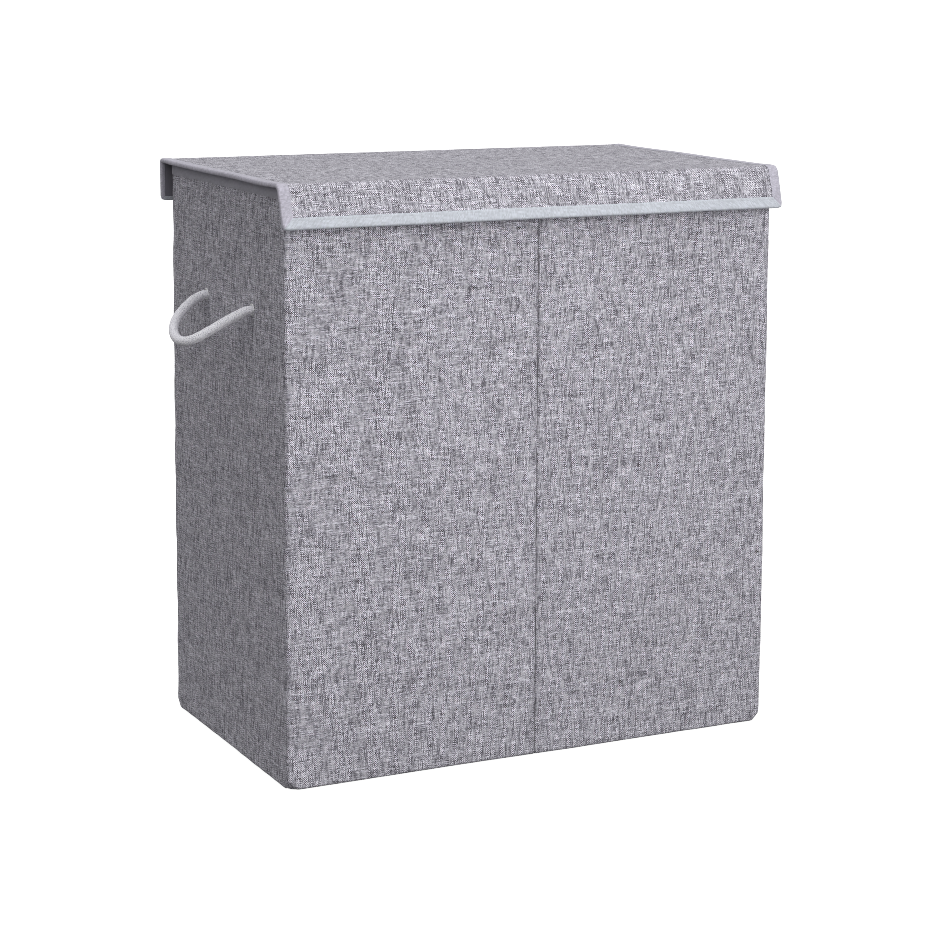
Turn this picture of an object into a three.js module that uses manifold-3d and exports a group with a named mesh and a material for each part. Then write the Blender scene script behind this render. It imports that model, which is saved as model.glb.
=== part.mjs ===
// Folding fabric laundry hamper with two compartments, a board-stiffened lid,
// rope carrying handles and two lift-out liner bags.
//
// Frame: millimetres, +Z up, origin at the centre of the flat underside.
// -Y is the front (the side with the deep lid flap), +X is to the right.
import * as THREE from "three";
import { mergeVertices } from "three/addons/utils/BufferGeometryUtils.js";
import Module from "manifold-3d";

const wasm = await Module();
wasm.setup();

// ---------------------------------------------------------------- dimensions
const BODY_W = 606; // outer width at the floor
const BODY_D = 354; // outer depth at the floor
const TAPER_Z = 640; // height at which the upper sizes below are measured
const BODY_W_TOP = 598;
const BODY_D_TOP = 347;
const CORNER_R = 6; // outer radius of the folded vertical corners
const WALL_TOP = 653.4; // top of the fabric and boards of the walls

const COVER_T = 1.0; // woven outer fabric
const BOARD_T = 2.6; // wall stiffener board
const LINING_T = 0.7; // plain inner fabric
const GAP = 0.3; // clearance between stacked layers
const FLOOR_BOARD_T = 3.0;
const BASE_CORNER_R = 20; // plan radius of the loose base board
const FOLD_GAP = 1.5; // half gap between boards at the centre fold
const BOARD_Z0 = 3; // lower edge of the wall boards
const BOARD_Z1 = 650;
const BOARD_CLIP = 14; // lower outer corners are cut off at 45 degrees

const TAPE_T = 0.5; // plain binding tape
const TAPE_W = 12.5;
const TAPE_GAP = 0.25;

const LID_X0 = -310; // the loose lid sits a few millimetres to the left
const LID_X1 = 302;
const LID_TOP = 660;
const LID_FRONT = -181.5; // front crease
const LID_BACK = 184.1; // back crease
const LID_COVER_T = 0.8;
const LID_BOARD_T = 2.0;
const LID_LINING_T = 0.6;
const FLAP_LEN = 49; // both flaps, from crease to hem
const FLAP_TILT = (19 * Math.PI) / 180; // front flap stands out from vertical
const CREASE = 6; // boards and tapes stop this far from a crease
const COVER_CREASE = 2;

const HANDLE_Z = 515.5;
const HANDLE_Y_REAR = 60; // rear eyelet
const HANDLE_Y_FRONT = -79.5; // front eyelet
const HANDLE_AXIS_X = 306.7; // swing axis, just outside the wall
const HANDLE_TILT = (53 * Math.PI) / 180; // loop from straight down
const ROPE_R = 4.5;
const EYELET_R_IN = 4.8;
const EYELET_R_BARREL = 5.5;
const EYELET_R_FLANGE = 7.0;
const EYELET_FLANGE_T = 0.9;
const EYELET_HOLE_R = 5.8;
const KNOT_R = 11;

const LINER_TOP = 652;
const LINER_T = 1.0;
const LINER_X_OUT = 296.6;
const LINER_X_LOW = 276; // the bag hangs clear of the rope knots
const LINER_X_IN = 0.6;
const LINER_Y = 170.0;
const LINER_R = 9; // plan radius of the bag's outer corners
const STRAP_T = 1.5; // liner carrying straps
const STRAP_W = 25;
const STRAP_SPAN = 150;
const STRAP_DROP = 80;
const STRAP_Z = 636;
const STRAP_Y = 164.6;
const LINER_MID_X = 149.7;

// ---------------------------------------------------------------- materials
const mat = (hex, roughness = 0.9, metalness = 0) =>
  new THREE.MeshStandardMaterial({ color: hex, roughness, metalness });
const WEAVE = mat(0x9c98a2, 0.95);
const TAPE = mat(0xbfc1c8, 0.85);
const LINING = mat(0x8f8d94, 0.9);
const BOARD = mat(0xa48f6e, 0.9);
const ROPE = mat(0xc9cad0, 0.85);
const METAL = mat(0xc0c2c4, 0.3, 0.9);
const LINER = mat(0xd9dade, 0.9);
const WEBBING = mat(0xc4c5ca, 0.9);
const HOOK = mat(0x77767c, 0.95);

// ---------------------------------------------------------------- helpers
const root = new THREE.Group();

const tx = (z) => 1 - ((1 - BODY_W_TOP / BODY_W) * z) / TAPER_Z;
const ty = (z) => 1 - ((1 - BODY_D_TOP / BODY_D) * z) / TAPER_Z;

// The body narrows slightly towards the rim: planes stay planes.
function taper(g) {
  const p = g.getAttribute("position");
  for (let i = 0; i < p.count; i++) {
    const z = p.getZ(i);
    p.setX(i, p.getX(i) * tx(z));
    p.setY(i, p.getY(i) * ty(z));
  }
  return g;
}

function add(name, geometry, material, parent = root) {
  const mesh = new THREE.Mesh(geometry, material);
  mesh.name = name;
  parent.add(mesh);
  return mesh;
}

function box(x0, x1, y0, y1, z0, z1) {
  return new THREE.BoxGeometry(x1 - x0, y1 - y0, z1 - z0).translate(
    (x0 + x1) / 2,
    (y0 + y1) / 2,
    (z0 + z1) / 2,
  );
}

function solid(g) {
  let flat = g.index ? g.toNonIndexed() : g.clone();
  flat = new THREE.BufferGeometry().setAttribute(
    "position",
    flat.getAttribute("position"),
  );
  const m = mergeVertices(flat, 1e-3);
  return new wasm.Manifold(
    new wasm.Mesh({
      numProp: 3,
      vertProperties: m.attributes.position.array,
      triVerts: new Uint32Array(m.index.array),
    }),
  );
}

function geometry(s) {
  const m = s.getMesh();
  const g = new THREE.BufferGeometry();
  const v = new Float32Array(m.numVert * 3);
  for (let i = 0; i < m.numVert; i++)
    v.set(
      m.vertProperties.subarray(i * m.numProp, i * m.numProp + 3),
      i * 3,
    );
  g.setAttribute("position", new THREE.BufferAttribute(v, 3));
  g.setIndex(new THREE.BufferAttribute(new Uint32Array(m.triVerts), 1));
  return g.toNonIndexed();
}

const cut = (a, ...rest) =>
  geometry(rest.reduce((s, b) => s.subtract(solid(b)), solid(a)));

// A prism of a plan outline [[x, y], ...] between two heights.
function prism(outline, z0, z1, holes = []) {
  const shape = new THREE.Shape(outline.map(([x, y]) => new THREE.Vector2(x, y)));
  for (const h of holes)
    shape.holes.push(new THREE.Path(h.map(([x, y]) => new THREE.Vector2(x, y))));
  return new THREE.ExtrudeGeometry(shape, {
    depth: z1 - z0,
    bevelEnabled: false,
  }).translate(0, 0, z0);
}

// The same, for a section in X and Z pushed along Y.
function prismY(outline, y0, y1) {
  const g = prism(outline.map(([x, z]) => [x, -z]), 0, y1 - y0);
  // section plane (x, -z) to (x, z): turn +Z to +Y
  return g.rotateX(-Math.PI / 2).translate(0, y0, 0);
}

// The same, for a section in Y and Z pushed along X.
function prismX(outline, x0, x1, holes = []) {
  const g = prism(outline, 0, x1 - x0, holes);
  // (y, z, depth) to (depth, y, z)
  return g
    .applyMatrix4(
      new THREE.Matrix4().set(0, 0, 1, 0, 1, 0, 0, 0, 0, 1, 0, 0, 0, 0, 0, 1),
    )
    .translate(x0, 0, 0);
}

const circle = (cx, cy, r, n = 16) =>
  Array.from({ length: n }, (_, i) => [
    cx + r * Math.cos((2 * Math.PI * i) / n),
    cy + r * Math.sin((2 * Math.PI * i) / n),
  ]);

// ---------------------------------------------------------------- body walls
const HX = BODY_W / 2;
const HY = BODY_D / 2;
const CX = HX - CORNER_R;
const CY = HY - CORNER_R;
const ARC_STEPS = 4;

// A plan strip that follows the outer face of the body at inward offsets
// o0 < o1. It starts on the front or back (side = -1 or +1 in Y) at x = xa,
// runs to the left or right corner (dir = -1 or +1) and round it.
function cornerStrip(o0, o1, side, dir, xa) {
  const line = (o) => {
    const pts = [[xa, side * (HY - o)]];
    for (let i = 0; i <= ARC_STEPS; i++) {
      const a = (Math.PI / 2) * (1 - i / ARC_STEPS);
      pts.push([
        dir * (CX + (CORNER_R - o) * Math.cos(a)),
        side * (CY + (CORNER_R - o) * Math.sin(a)),
      ]);
    }
    return pts;
  };
  return [...line(o0), ...line(o1).reverse()];
}

// ExtrudeGeometry needs no particular winding: it turns outlines itself.
const O_BOARD = COVER_T + GAP;
const O_LINING = O_BOARD + BOARD_T + GAP;
const O_IN = O_LINING + LINING_T;
const Z_WALL = COVER_T + GAP;

for (const [sy, fb] of [
  [-1, "front"],
  [1, "back"],
]) {
  for (const [sx, lr] of [
    [-1, "left"],
    [1, "right"],
  ]) {
    add(
      `cover_${fb}_${lr}`,
      taper(prism(cornerStrip(0, COVER_T, sy, sx, sx * 0.2), Z_WALL, WALL_TOP)),
      WEAVE,
    );
    const xa = sx * FOLD_GAP;
    const xb = sx * CX;
    add(
      `board_${fb}_${lr}`,
      taper(
        prismY(
          [
            [xa, BOARD_Z0],
            [xb - sx * BOARD_CLIP, BOARD_Z0],
            [xb, BOARD_Z0 + BOARD_CLIP],
            [xb, BOARD_Z1],
            [xa, BOARD_Z1],
          ],
          Math.min(sy * (HY - O_BOARD), sy * (HY - O_BOARD - BOARD_T)),
          Math.max(sy * (HY - O_BOARD), sy * (HY - O_BOARD - BOARD_T)),
        ),
      ),
      BOARD,
    );
  }
  // One lining panel runs corner to corner.
  const left = cornerStrip(O_LINING, O_IN, sy, -1, 0);
  const right = cornerStrip(O_LINING, O_IN, sy, 1, 0);
  const half = left.length / 2;
  add(
    `lining_${fb}`,
    taper(
      prism(
        [
          ...left.slice(0, half).reverse(),
          ...right.slice(1, half),
          ...right.slice(half, right.length - 1),
          ...left.slice(half).reverse().slice(0),
        ].filter(
          (p, i, a) =>
            i === 0 ||
            Math.hypot(p[0] - a[i - 1][0], p[1] - a[i - 1][1]) > 1e-6,
        ),
        Z_WALL + 1,
        WALL_TOP,
      ),
    ),
    LINING,
  );
}

// Side panels, with the eyelet holes. The holes are laid out so that the
// narrowing of the body brings them to the handle positions.
const holeY = [HANDLE_Y_REAR, HANDLE_Y_FRONT].map((y) => y / ty(HANDLE_Z));
for (const [sx, lr] of [
  [-1, "left"],
  [1, "right"],
]) {
  const side = (o0, o1, z0, z1, y, clip = 0) =>
    taper(
      prismX(
        [
          [-y + clip, z0],
          [y - clip, z0],
          ...(clip ? [[y, z0 + clip]] : []),
          [y, z1],
          [-y, z1],
          ...(clip ? [[-y, z0 + clip]] : []),
        ],
        Math.min(sx * (HX - o0), sx * (HX - o1)),
        Math.max(sx * (HX - o0), sx * (HX - o1)),
        holeY.map((hy) => circle(hy, HANDLE_Z, EYELET_HOLE_R)),
      ),
    );
  add(`cover_${lr}`, side(0, COVER_T, Z_WALL, WALL_TOP, CY - GAP), WEAVE);
  add(
    `board_${lr}`,
    side(
      O_BOARD,
      O_BOARD + BOARD_T,
      BOARD_Z0,
      BOARD_Z1,
      CY - GAP,
      BOARD_CLIP,
    ),
    BOARD,
  );
  add(
    `lining_${lr}`,
    side(O_LINING, O_IN, Z_WALL + 1, WALL_TOP, CY - GAP),
    LINING,
  );
}

// ---------------------------------------------------------------- floor
const rounded = (hx, hy, r) => {
  const pts = [];
  for (const [sx, sy, a0] of [
    [1, 1, 0],
    [-1, 1, 1],
    [-1, -1, 2],
    [1, -1, 3],
  ])
    for (let i = 0; i <= ARC_STEPS; i++) {
      const a = (Math.PI / 2) * (a0 + i / ARC_STEPS);
      pts.push([
        sx * (hx - r) + r * Math.cos(a),
        sy * (hy - r) + r * Math.sin(a),
      ]);
    }
  return pts;
};
add("cover_bottom", prism(rounded(HX, HY, CORNER_R), 0, COVER_T), WEAVE);
const inX = HX - O_IN - GAP;
const inY = HY - O_IN - GAP;
add(
  "lining_bottom",
  prism(
    rounded(inX - 0.1, inY - 0.1, CORNER_R - O_IN),
    Z_WALL,
    Z_WALL + LINING_T,
  ),
  LINING,
);
const Z_FLOOR = Z_WALL + LINING_T + GAP;
add(
  "base_board",
  prism(
    rounded(inX - 0.6, inY - 0.6, BASE_CORNER_R),
    Z_FLOOR,
    Z_FLOOR + FLOOR_BOARD_T,
  ),
  BOARD,
);

// ---------------------------------------------------------------- rim binding
// Folded tape over the wall's top edge, as two U-shaped halves that meet at
// the centre folds.
for (const [sx, lr] of [
  [-1, "left"],
  [1, "right"],
]) {
  const ring = (o0, o1, z0, z1) => {
    const outer = cornerStrip(o0, o1, -1, sx, sx * 0.15);
    const n = outer.length / 2;
    const back = cornerStrip(o0, o1, 1, sx, sx * 0.15);
    return prism(
      [
        ...outer.slice(0, n),
        ...back.slice(0, n).reverse(),
        ...back.slice(n).reverse(),
        ...outer.slice(n),
      ],
      z0,
      z1,
    );
  };
  const out = -TAPE_GAP - TAPE_T;
  const inn = O_IN + TAPE_GAP + TAPE_T;
  const whole = solid(
    ring(out, inn, WALL_TOP - TAPE_W + 0.8, WALL_TOP + TAPE_GAP + TAPE_T),
  );
  const shell = (o0, o1) => {
    const a = cornerStrip(o0, o1, -1, sx, -sx * 2);
    const n = a.length / 2;
    const b = cornerStrip(o0, o1, 1, sx, -sx * 2);
    return solid(
      prism(
        [
          ...a.slice(0, n),
          ...b.slice(0, n).reverse(),
          ...b.slice(n).reverse(),
          ...a.slice(n),
        ],
        WALL_TOP - TAPE_W - 5,
        WALL_TOP + TAPE_GAP,
      ),
    );
  };
  add(
    `rim_binding_${lr}`,
    taper(geometry(whole.subtract(shell(-TAPE_GAP, O_IN + TAPE_GAP)))),
    TAPE,
  );
}

// ---------------------------------------------------------------- lid
const LW = (LID_X1 - LID_X0) / 2;
const LX = (LID_X1 + LID_X0) / 2;
const STACK = TAPE_T + TAPE_GAP; // tape stands this far off the cover
const T_COVER = STACK;
const T_BOARD = T_COVER + LID_COVER_T + TAPE_GAP;
const T_LINING = T_BOARD + LID_BOARD_T + TAPE_GAP;
const T_END = T_LINING + LID_LINING_T + TAPE_GAP + TAPE_T; // whole thickness

const lid = new THREE.Group();
lid.position.set(LX, 0, LID_TOP);
root.add(lid);
add(
  "lid_cover",
  box(
    -LW + STACK,
    LW - STACK,
    LID_FRONT + COVER_CREASE,
    LID_BACK - COVER_CREASE,
    -T_COVER - LID_COVER_T,
    -T_COVER,
  ),
  WEAVE,
  lid,
);
add(
  "lid_board",
  box(
    -LW + 4,
    LW - 4,
    LID_FRONT + CREASE,
    LID_BACK - CREASE,
    -T_BOARD - LID_BOARD_T,
    -T_BOARD,
  ),
  BOARD,
  lid,
);
add(
  "lid_lining",
  box(
    -LW + STACK,
    LW - STACK,
    LID_FRONT + CREASE,
    LID_BACK - CREASE,
    -T_LINING - LID_LINING_T,
    -T_LINING,
  ),
  LINING,
  lid,
);
for (const [sx, lr] of [
  [-1, "left"],
  [1, "right"],
]) {
  const s = (x) => sx * x;
  add(
    `lid_binding_${lr}`,
    prismY(
      [
        [s(LW), 0],
        [s(LW), -T_END],
        [s(LW - TAPE_W), -T_END],
        [s(LW - TAPE_W), -T_END + TAPE_T],
        [s(LW - TAPE_T), -T_END + TAPE_T],
        [s(LW - TAPE_T), -TAPE_T],
        [s(LW - TAPE_W), -TAPE_T],
        [s(LW - TAPE_W), 0],
      ],
      LID_FRONT + CREASE,
      LID_BACK - CREASE,
    ),
    TAPE,
    lid,
  );
}

// A flap in its own frame: crease along X at the origin, the flap hanging
// towards -Z with its outer face at y = 0 and its thickness towards +Y.
function flap(prefix, group) {
  add(
    `${prefix}_cover`,
    box(
      -LW + STACK,
      LW - STACK,
      T_COVER,
      T_COVER + LID_COVER_T,
      -FLAP_LEN + STACK,
      -COVER_CREASE,
    ),
    WEAVE,
    group,
  );
  add(
    `${prefix}_board`,
    box(
      -LW + 4,
      LW - 4,
      T_BOARD,
      T_BOARD + LID_BOARD_T,
      -FLAP_LEN + 4,
      -CREASE,
    ),
    BOARD,
    group,
  );
  add(
    `${prefix}_lining`,
    box(
      -LW + STACK,
      LW - STACK,
      T_LINING,
      T_LINING + LID_LINING_T,
      -FLAP_LEN + STACK,
      -CREASE,
    ),
    LINING,
    group,
  );
  add(
    `${prefix}_binding`,
    cut(
      box(-LW, LW, 0, T_END, -FLAP_LEN, -CREASE),
      box(
        -LW + TAPE_T,
        LW - TAPE_T,
        TAPE_T,
        T_END - TAPE_T,
        -FLAP_LEN + TAPE_T,
        5,
      ),
      box(-LW + TAPE_W, LW - TAPE_W, -5, T_END + 5, -FLAP_LEN + TAPE_W, 5),
    ),
    TAPE,
    group,
  );
}

const frontFlap = new THREE.Group();
frontFlap.position.set(LX, LID_FRONT, LID_TOP);
frontFlap.rotation.x = -FLAP_TILT;
root.add(frontFlap);
flap("front_flap", frontFlap);

const backFlap = new THREE.Group();
backFlap.position.set(LX, LID_BACK, LID_TOP);
backFlap.rotation.z = Math.PI; // outer face towards +Y
root.add(backFlap);
flap("back_flap", backFlap);

// Hook-and-loop: hooks on the flap's lining, loops on the back wall.
const loopY0 = HY * ty(611) + 0.3;
for (const [x0, x1, lr] of [
  [-270, -30, "left"],
  [30, 270, "right"],
]) {
  add(
    `wall_loop_strip_${lr}`,
    box(x0, x1, loopY0, loopY0 + 2.4, 616, 640),
    HOOK,
  );
  add(
    `flap_hook_strip_${lr}`,
    box(
      x0,
      x1,
      loopY0 + 2.7,
      LID_BACK - T_LINING - LID_LINING_T - 0.3,
      624.5,
      648,
    ),
    HOOK,
  );
}

// ---------------------------------------------------------------- handles
const WALL_X = HX * tx(HANDLE_Z); // outer face at handle height
const WALL_IN = (HX - O_IN) * tx(HANDLE_Z);

// Lathe profiles below are [distance along the axis, radius]; the axis is
// turned to point out of the wall along X.
function turned(profile, segments) {
  const pts = profile.map(([a, r]) => new THREE.Vector2(r, a));
  return new THREE.LatheGeometry(pts, segments).rotateZ(-Math.PI / 2);
}

const inner = WALL_IN - 0.2; // inside of the inner eyelet flange's seat
const outer = WALL_X + 0.2;
function eyelet() {
  return turned(
    [
      [inner - EYELET_FLANGE_T, EYELET_R_IN],
      [inner - EYELET_FLANGE_T, EYELET_R_FLANGE],
      [inner, EYELET_R_FLANGE],
      [inner, EYELET_R_BARREL],
      [outer, EYELET_R_BARREL],
      [outer, EYELET_R_FLANGE],
      [outer + EYELET_FLANGE_T, EYELET_R_FLANGE],
      [outer + EYELET_FLANGE_T, EYELET_R_IN],
      [inner - EYELET_FLANGE_T, EYELET_R_IN],
    ],
    20,
  );
}

function knot() {
  const k0 = inner - EYELET_FLANGE_T - GAP; // face that bears on the eyelet
  const p = [[outer + EYELET_FLANGE_T + 0.2, 0]];
  p.push([outer + EYELET_FLANGE_T + 0.2, ROPE_R]);
  p.push([k0 - 1, ROPE_R]);
  p.push([k0 - 1.5, KNOT_R * 0.75]);
  p.push([k0 - 4.5, KNOT_R]);
  p.push([k0 - 9.5, KNOT_R]);
  p.push([k0 - 13, KNOT_R * 0.7]);
  p.push([k0 - 14, 0]);
  return turned(p.reverse(), 14);
}

// Loop centre line in its own plane: s outwards and down, t along Y.
const LOOP = [
  [0, 60],
  [8.7, 63.5],
  [20.2, 63.5],
  [31.8, 59.5],
  [43.3, 49.5],
  [53.9, 33],
  [61.6, 12],
  [65, -10],
  [62.6, -29],
  [53.9, -42],
  [41.4, -51.5],
  [27.9, -60],
  [13.5, -70],
  [0, -79.5],
];
for (const [sx, lr] of [
  [-1, "left"],
  [1, "right"],
]) {
  for (const [y, fr] of [
    [HANDLE_Y_FRONT, "front"],
    [HANDLE_Y_REAR, "rear"],
  ]) {
    const e = eyelet();
    const k = knot();
    if (sx < 0) {
      e.rotateZ(Math.PI);
      k.rotateZ(Math.PI);
    }
    add(`eyelet_${lr}_${fr}`, e, METAL).position.set(0, y, HANDLE_Z);
    add(`knot_${lr}_${fr}`, k, ROPE).position.set(0, y, HANDLE_Z);
  }
  const curve = new THREE.CatmullRomCurve3(
    LOOP.map(
      ([s, t]) =>
        new THREE.Vector3(
          sx * (HANDLE_AXIS_X + s * Math.sin(HANDLE_TILT)),
          t,
          HANDLE_Z - s * Math.cos(HANDLE_TILT),
        ),
    ),
  );
  const section = new THREE.Shape(
    circle(0, 0, ROPE_R, 8).map(([x, y]) => new THREE.Vector2(x, y)),
  );
  add(
    `rope_handle_${lr}`,
    new THREE.ExtrudeGeometry(section, {
      steps: 22,
      extrudePath: curve,
      bevelEnabled: false,
    }),
    ROPE,
  );
}

// ---------------------------------------------------------------- liner bags
const Z_BAG = Z_FLOOR + FLOOR_BOARD_T + GAP;
for (const [sx, lr] of [
  [-1, "left"],
  [1, "right"],
]) {
  const section = (t, top) => [
    [sx * (LINER_X_IN + t), Z_BAG + t],
    [sx * (LINER_X_LOW - t), Z_BAG + t],
    [sx * (LINER_X_LOW - t), 565],
    [sx * (LINER_X_OUT - t), 605],
    [sx * (LINER_X_OUT - t), top],
    [sx * (LINER_X_IN + t), top],
  ];
  // Section in X and Z, rounded in plan so that it clears the wall corners.
  const form = (t, top) =>
    solid(prismY(section(t, top), -LINER_Y + t, LINER_Y - t)).intersect(
      solid(
        prism(rounded(LINER_X_OUT - t, LINER_Y - t, LINER_R - t), 0, top + 1),
      ),
    );
  add(
    `liner_bag_${lr}`,
    taper(geometry(form(0, LINER_TOP).subtract(form(LINER_T, LINER_TOP + 5)))),
    LINER,
  );
  // Hook strips on the wall lining hold the bag's brushed hem.
  for (const [sy, fb] of [
    [-1, "front"],
    [1, "back"],
  ]) {
    const yo = (HY - O_IN) * ty(635) - 0.25;
    add(
      `liner_hook_strip_${fb}_${lr}`,
      box(
        sx < 0 ? -230 : 70,
        sx < 0 ? -70 : 230,
        sy < 0 ? -yo : yo - 0.9,
        sy < 0 ? -yo + 0.9 : yo,
        616,
        636,
      ),
      HOOK,
    );
    // Carrying strap: a flat webbing loop that hangs inside the bag.
    const strap = new THREE.Shape();
    const w = STRAP_SPAN / 2;
    const r = 45;
    strap.moveTo(-w, 0);
    strap.lineTo(-w, -STRAP_DROP + r);
    strap.quadraticCurveTo(-w, -STRAP_DROP, -w + r, -STRAP_DROP);
    strap.lineTo(w - r, -STRAP_DROP);
    strap.quadraticCurveTo(w, -STRAP_DROP, w, -STRAP_DROP + r);
    strap.lineTo(w, 0);
    strap.lineTo(w - STRAP_W, 0);
    strap.lineTo(w - STRAP_W, -STRAP_DROP + r);
    strap.quadraticCurveTo(
      w - STRAP_W,
      -STRAP_DROP + STRAP_W,
      w - r,
      -STRAP_DROP + STRAP_W,
    );
    strap.lineTo(-w + r, -STRAP_DROP + STRAP_W);
    strap.quadraticCurveTo(
      -w + STRAP_W,
      -STRAP_DROP + STRAP_W,
      -w + STRAP_W,
      -STRAP_DROP + r,
    );
    strap.lineTo(-w + STRAP_W, 0);
    strap.closePath();
    const g = new THREE.ExtrudeGeometry(strap, {
      depth: STRAP_T,
      bevelEnabled: false,
      curveSegments: 5,
    })
      .translate(0, 0, -STRAP_T / 2)
      .rotateX(Math.PI / 2);
    add(`liner_strap_${fb}_${lr}`, g, WEBBING).position.set(
      sx * LINER_MID_X,
      sy * STRAP_Y,
      STRAP_Z,
    );
  }
}

export default root;
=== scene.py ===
import math
import random

import bpy
import numpy as np
from mathutils import Matrix, Vector

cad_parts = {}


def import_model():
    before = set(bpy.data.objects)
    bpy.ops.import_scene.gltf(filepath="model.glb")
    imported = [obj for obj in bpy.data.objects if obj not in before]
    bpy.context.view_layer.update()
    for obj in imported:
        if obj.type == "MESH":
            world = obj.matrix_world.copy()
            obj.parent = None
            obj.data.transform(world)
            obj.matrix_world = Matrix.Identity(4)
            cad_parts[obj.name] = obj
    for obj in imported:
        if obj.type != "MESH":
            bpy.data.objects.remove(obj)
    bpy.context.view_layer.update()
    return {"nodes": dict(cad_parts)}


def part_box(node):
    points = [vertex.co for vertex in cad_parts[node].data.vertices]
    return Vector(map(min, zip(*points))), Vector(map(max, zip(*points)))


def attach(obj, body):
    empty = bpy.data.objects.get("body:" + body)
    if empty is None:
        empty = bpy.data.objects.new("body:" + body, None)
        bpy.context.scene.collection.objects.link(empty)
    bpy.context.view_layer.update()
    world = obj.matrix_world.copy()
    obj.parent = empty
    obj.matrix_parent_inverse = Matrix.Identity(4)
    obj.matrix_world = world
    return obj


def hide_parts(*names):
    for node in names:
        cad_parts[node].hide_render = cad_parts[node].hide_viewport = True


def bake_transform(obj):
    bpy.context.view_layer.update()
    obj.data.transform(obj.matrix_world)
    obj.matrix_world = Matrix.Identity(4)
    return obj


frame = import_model()
NODES = frame["nodes"]
MM = 0.001
random.seed(4)

# ------------------------------------------------------------------ dimensions (metres)
HX, HY, CR = 0.303, 0.177, 0.0045
CX, CY = HX - CR, HY - CR
WALL_TOP = 0.6534
LID_X0, LID_X1, LID_TOP = -0.310, 0.302, 0.660
LID_FRONT, LID_BACK = -0.1815, 0.1841
FLAP = 0.049
TILT = math.radians(19)
TAPE_W = 0.0125
T_COVER, T_COVER_IN = 0.00075, 0.00155
T_LINING, T_LINING_IN = 0.00405, 0.00465
T_END = 0.0054
HANDLE_Z = 0.5155
EYELET_Y = {"rear": 0.060, "front": -0.0795}
PIVOT_X = 0.3067
SWING = math.radians(53)
ROPE_R = 0.0045


def tx(z):
    return 1 - (8 / 606) * z / 0.640


def ty(z):
    return 1 - (7 / 354) * z / 0.640


# ------------------------------------------------------------------ mesh helpers
def smooth01(t):
    t = np.clip(t, 0, 1)
    return t * t * (3 - 2 * t)


def bump_at(x, c, w):
    return np.exp(-(((x - c) / w) ** 2))


def waves(u, v, seed, count=7, low=0.06, high=0.30):
    """A smooth field of about -1 to 1 in metres, the same on each run."""
    r = np.random.RandomState(seed)
    out = np.zeros(np.broadcast(u, v).shape)
    for _ in range(count):
        wl = low * (high / low) ** r.rand()
        a = r.rand() * 2 * math.pi
        out = out + np.sin(
            2 * math.pi * (u * math.cos(a) + v * math.sin(a)) / wl + r.rand() * 6.283
        )
    return out / math.sqrt(count) / 1.2


def make(name, verts, faces, uv=None, angle=38):
    """A mesh object. uv holds a pair for each vertex, in metres."""
    me = bpy.data.meshes.new(name)
    me.from_pydata([tuple(p) for p in verts], [], [tuple(f) for f in faces])
    me.update()
    co = np.asarray(verts, float)
    vol = 0.0
    for f in faces if len(faces) < 400 else faces[:: max(1, len(faces) // 1)]:
        a = co[f[0]]
        for k in range(1, len(f) - 1):
            vol += np.dot(a, np.cross(co[f[k]], co[f[k + 1]]))
        if len(faces) > 3000:
            break
    if len(faces) > 3000:
        q = np.array([f for f in faces if len(f) == 4])
        a, b, c, d = (co[q[:, k]] for k in range(4))
        vol = np.sum(a * np.cross(b, c)) + np.sum(a * np.cross(c, d))
    if vol < 0:
        me.flip_normals()
    if uv is not None:
        lay = me.uv_layers.new(name="Weave")
        li = np.zeros(len(me.loops), np.int32)
        me.loops.foreach_get("vertex_index", li)
        lay.data.foreach_set("uv", np.asarray(uv, np.float32)[li].ravel())
    me.polygons.foreach_set("use_smooth", [True] * len(me.polygons))
    me.set_sharp_from_angle(angle=math.radians(angle))
    o = bpy.data.objects.new(name, me)
    bpy.context.scene.collection.objects.link(o)
    return o


def grid_faces(n, m, keep=None, wrap=False):
    idx = np.arange(n * m).reshape(n, m)
    if wrap:
        idx = np.vstack([idx, idx[:1]])
    q = np.stack(
        [idx[:-1, :-1].ravel(), idx[1:, :-1].ravel(), idx[1:, 1:].ravel(), idx[:-1, 1:].ravel()], 1
    )
    return q if keep is None else q[keep]


def shell_data(P, Q, UV, keep=None, wrap=False):
    """Outer grid P and inner grid Q as one closed sheet, with holes where keep is False."""
    n, m, _ = P.shape
    N = n * m
    q = grid_faces(n, m, keep, wrap)
    edges = {}
    for f in q.tolist():
        for k in range(4):
            a, b = f[k], f[(k + 1) % 4]
            if (b, a) in edges:
                del edges[(b, a)]
            else:
                edges[(a, b)] = 1
    walls = [(b, a, a + N, b + N) for a, b in edges]
    faces = q.tolist() + (q[:, ::-1] + N).tolist() + walls
    verts = np.vstack([P.reshape(-1, 3), Q.reshape(-1, 3)])
    uv = np.vstack([UV.reshape(-1, 2)] * 2)
    used = np.zeros(2 * N, bool)
    used[np.unique(np.array([i for f in faces for i in f]))] = True
    new = np.cumsum(used) - 1
    return verts[used], [[int(new[i]) for i in f] for f in faces], uv[used]


def normals(P):
    du, dv = np.gradient(P, axis=0), np.gradient(P, axis=1)
    n = np.cross(du, dv)
    return n / np.maximum(np.linalg.norm(n, axis=2, keepdims=True), 1e-12)


def join_data(parts):
    verts, faces, uv, base = [], [], [], 0
    for v, f, u in parts:
        verts.append(np.asarray(v, float))
        uv.append(np.asarray(u, float))
        faces += [[i + base for i in g] for g in f]
        base += len(v)
    return np.vstack(verts), faces, np.vstack(uv)


def spaced(a, b, step, fine=(), fine_step=0.0015, half=0.010):
    """Sample places from a to b, closer together around each place in fine."""
    out = [a]
    while out[-1] < b - 1e-9:
        x = out[-1]
        near = any(abs(x - c) < half for c in fine)
        ahead = [c - half for c in fine if c - half > x + 1e-9]
        d = fine_step if near else step
        if not near and ahead:
            d = min(d, max(min(ahead) - x, 1e-4))
        out.append(x + d)
    out[-1] = b
    if len(out) > 2 and out[-1] - out[-2] < 2e-4:
        del out[-2]
    return np.array(out)


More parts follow.
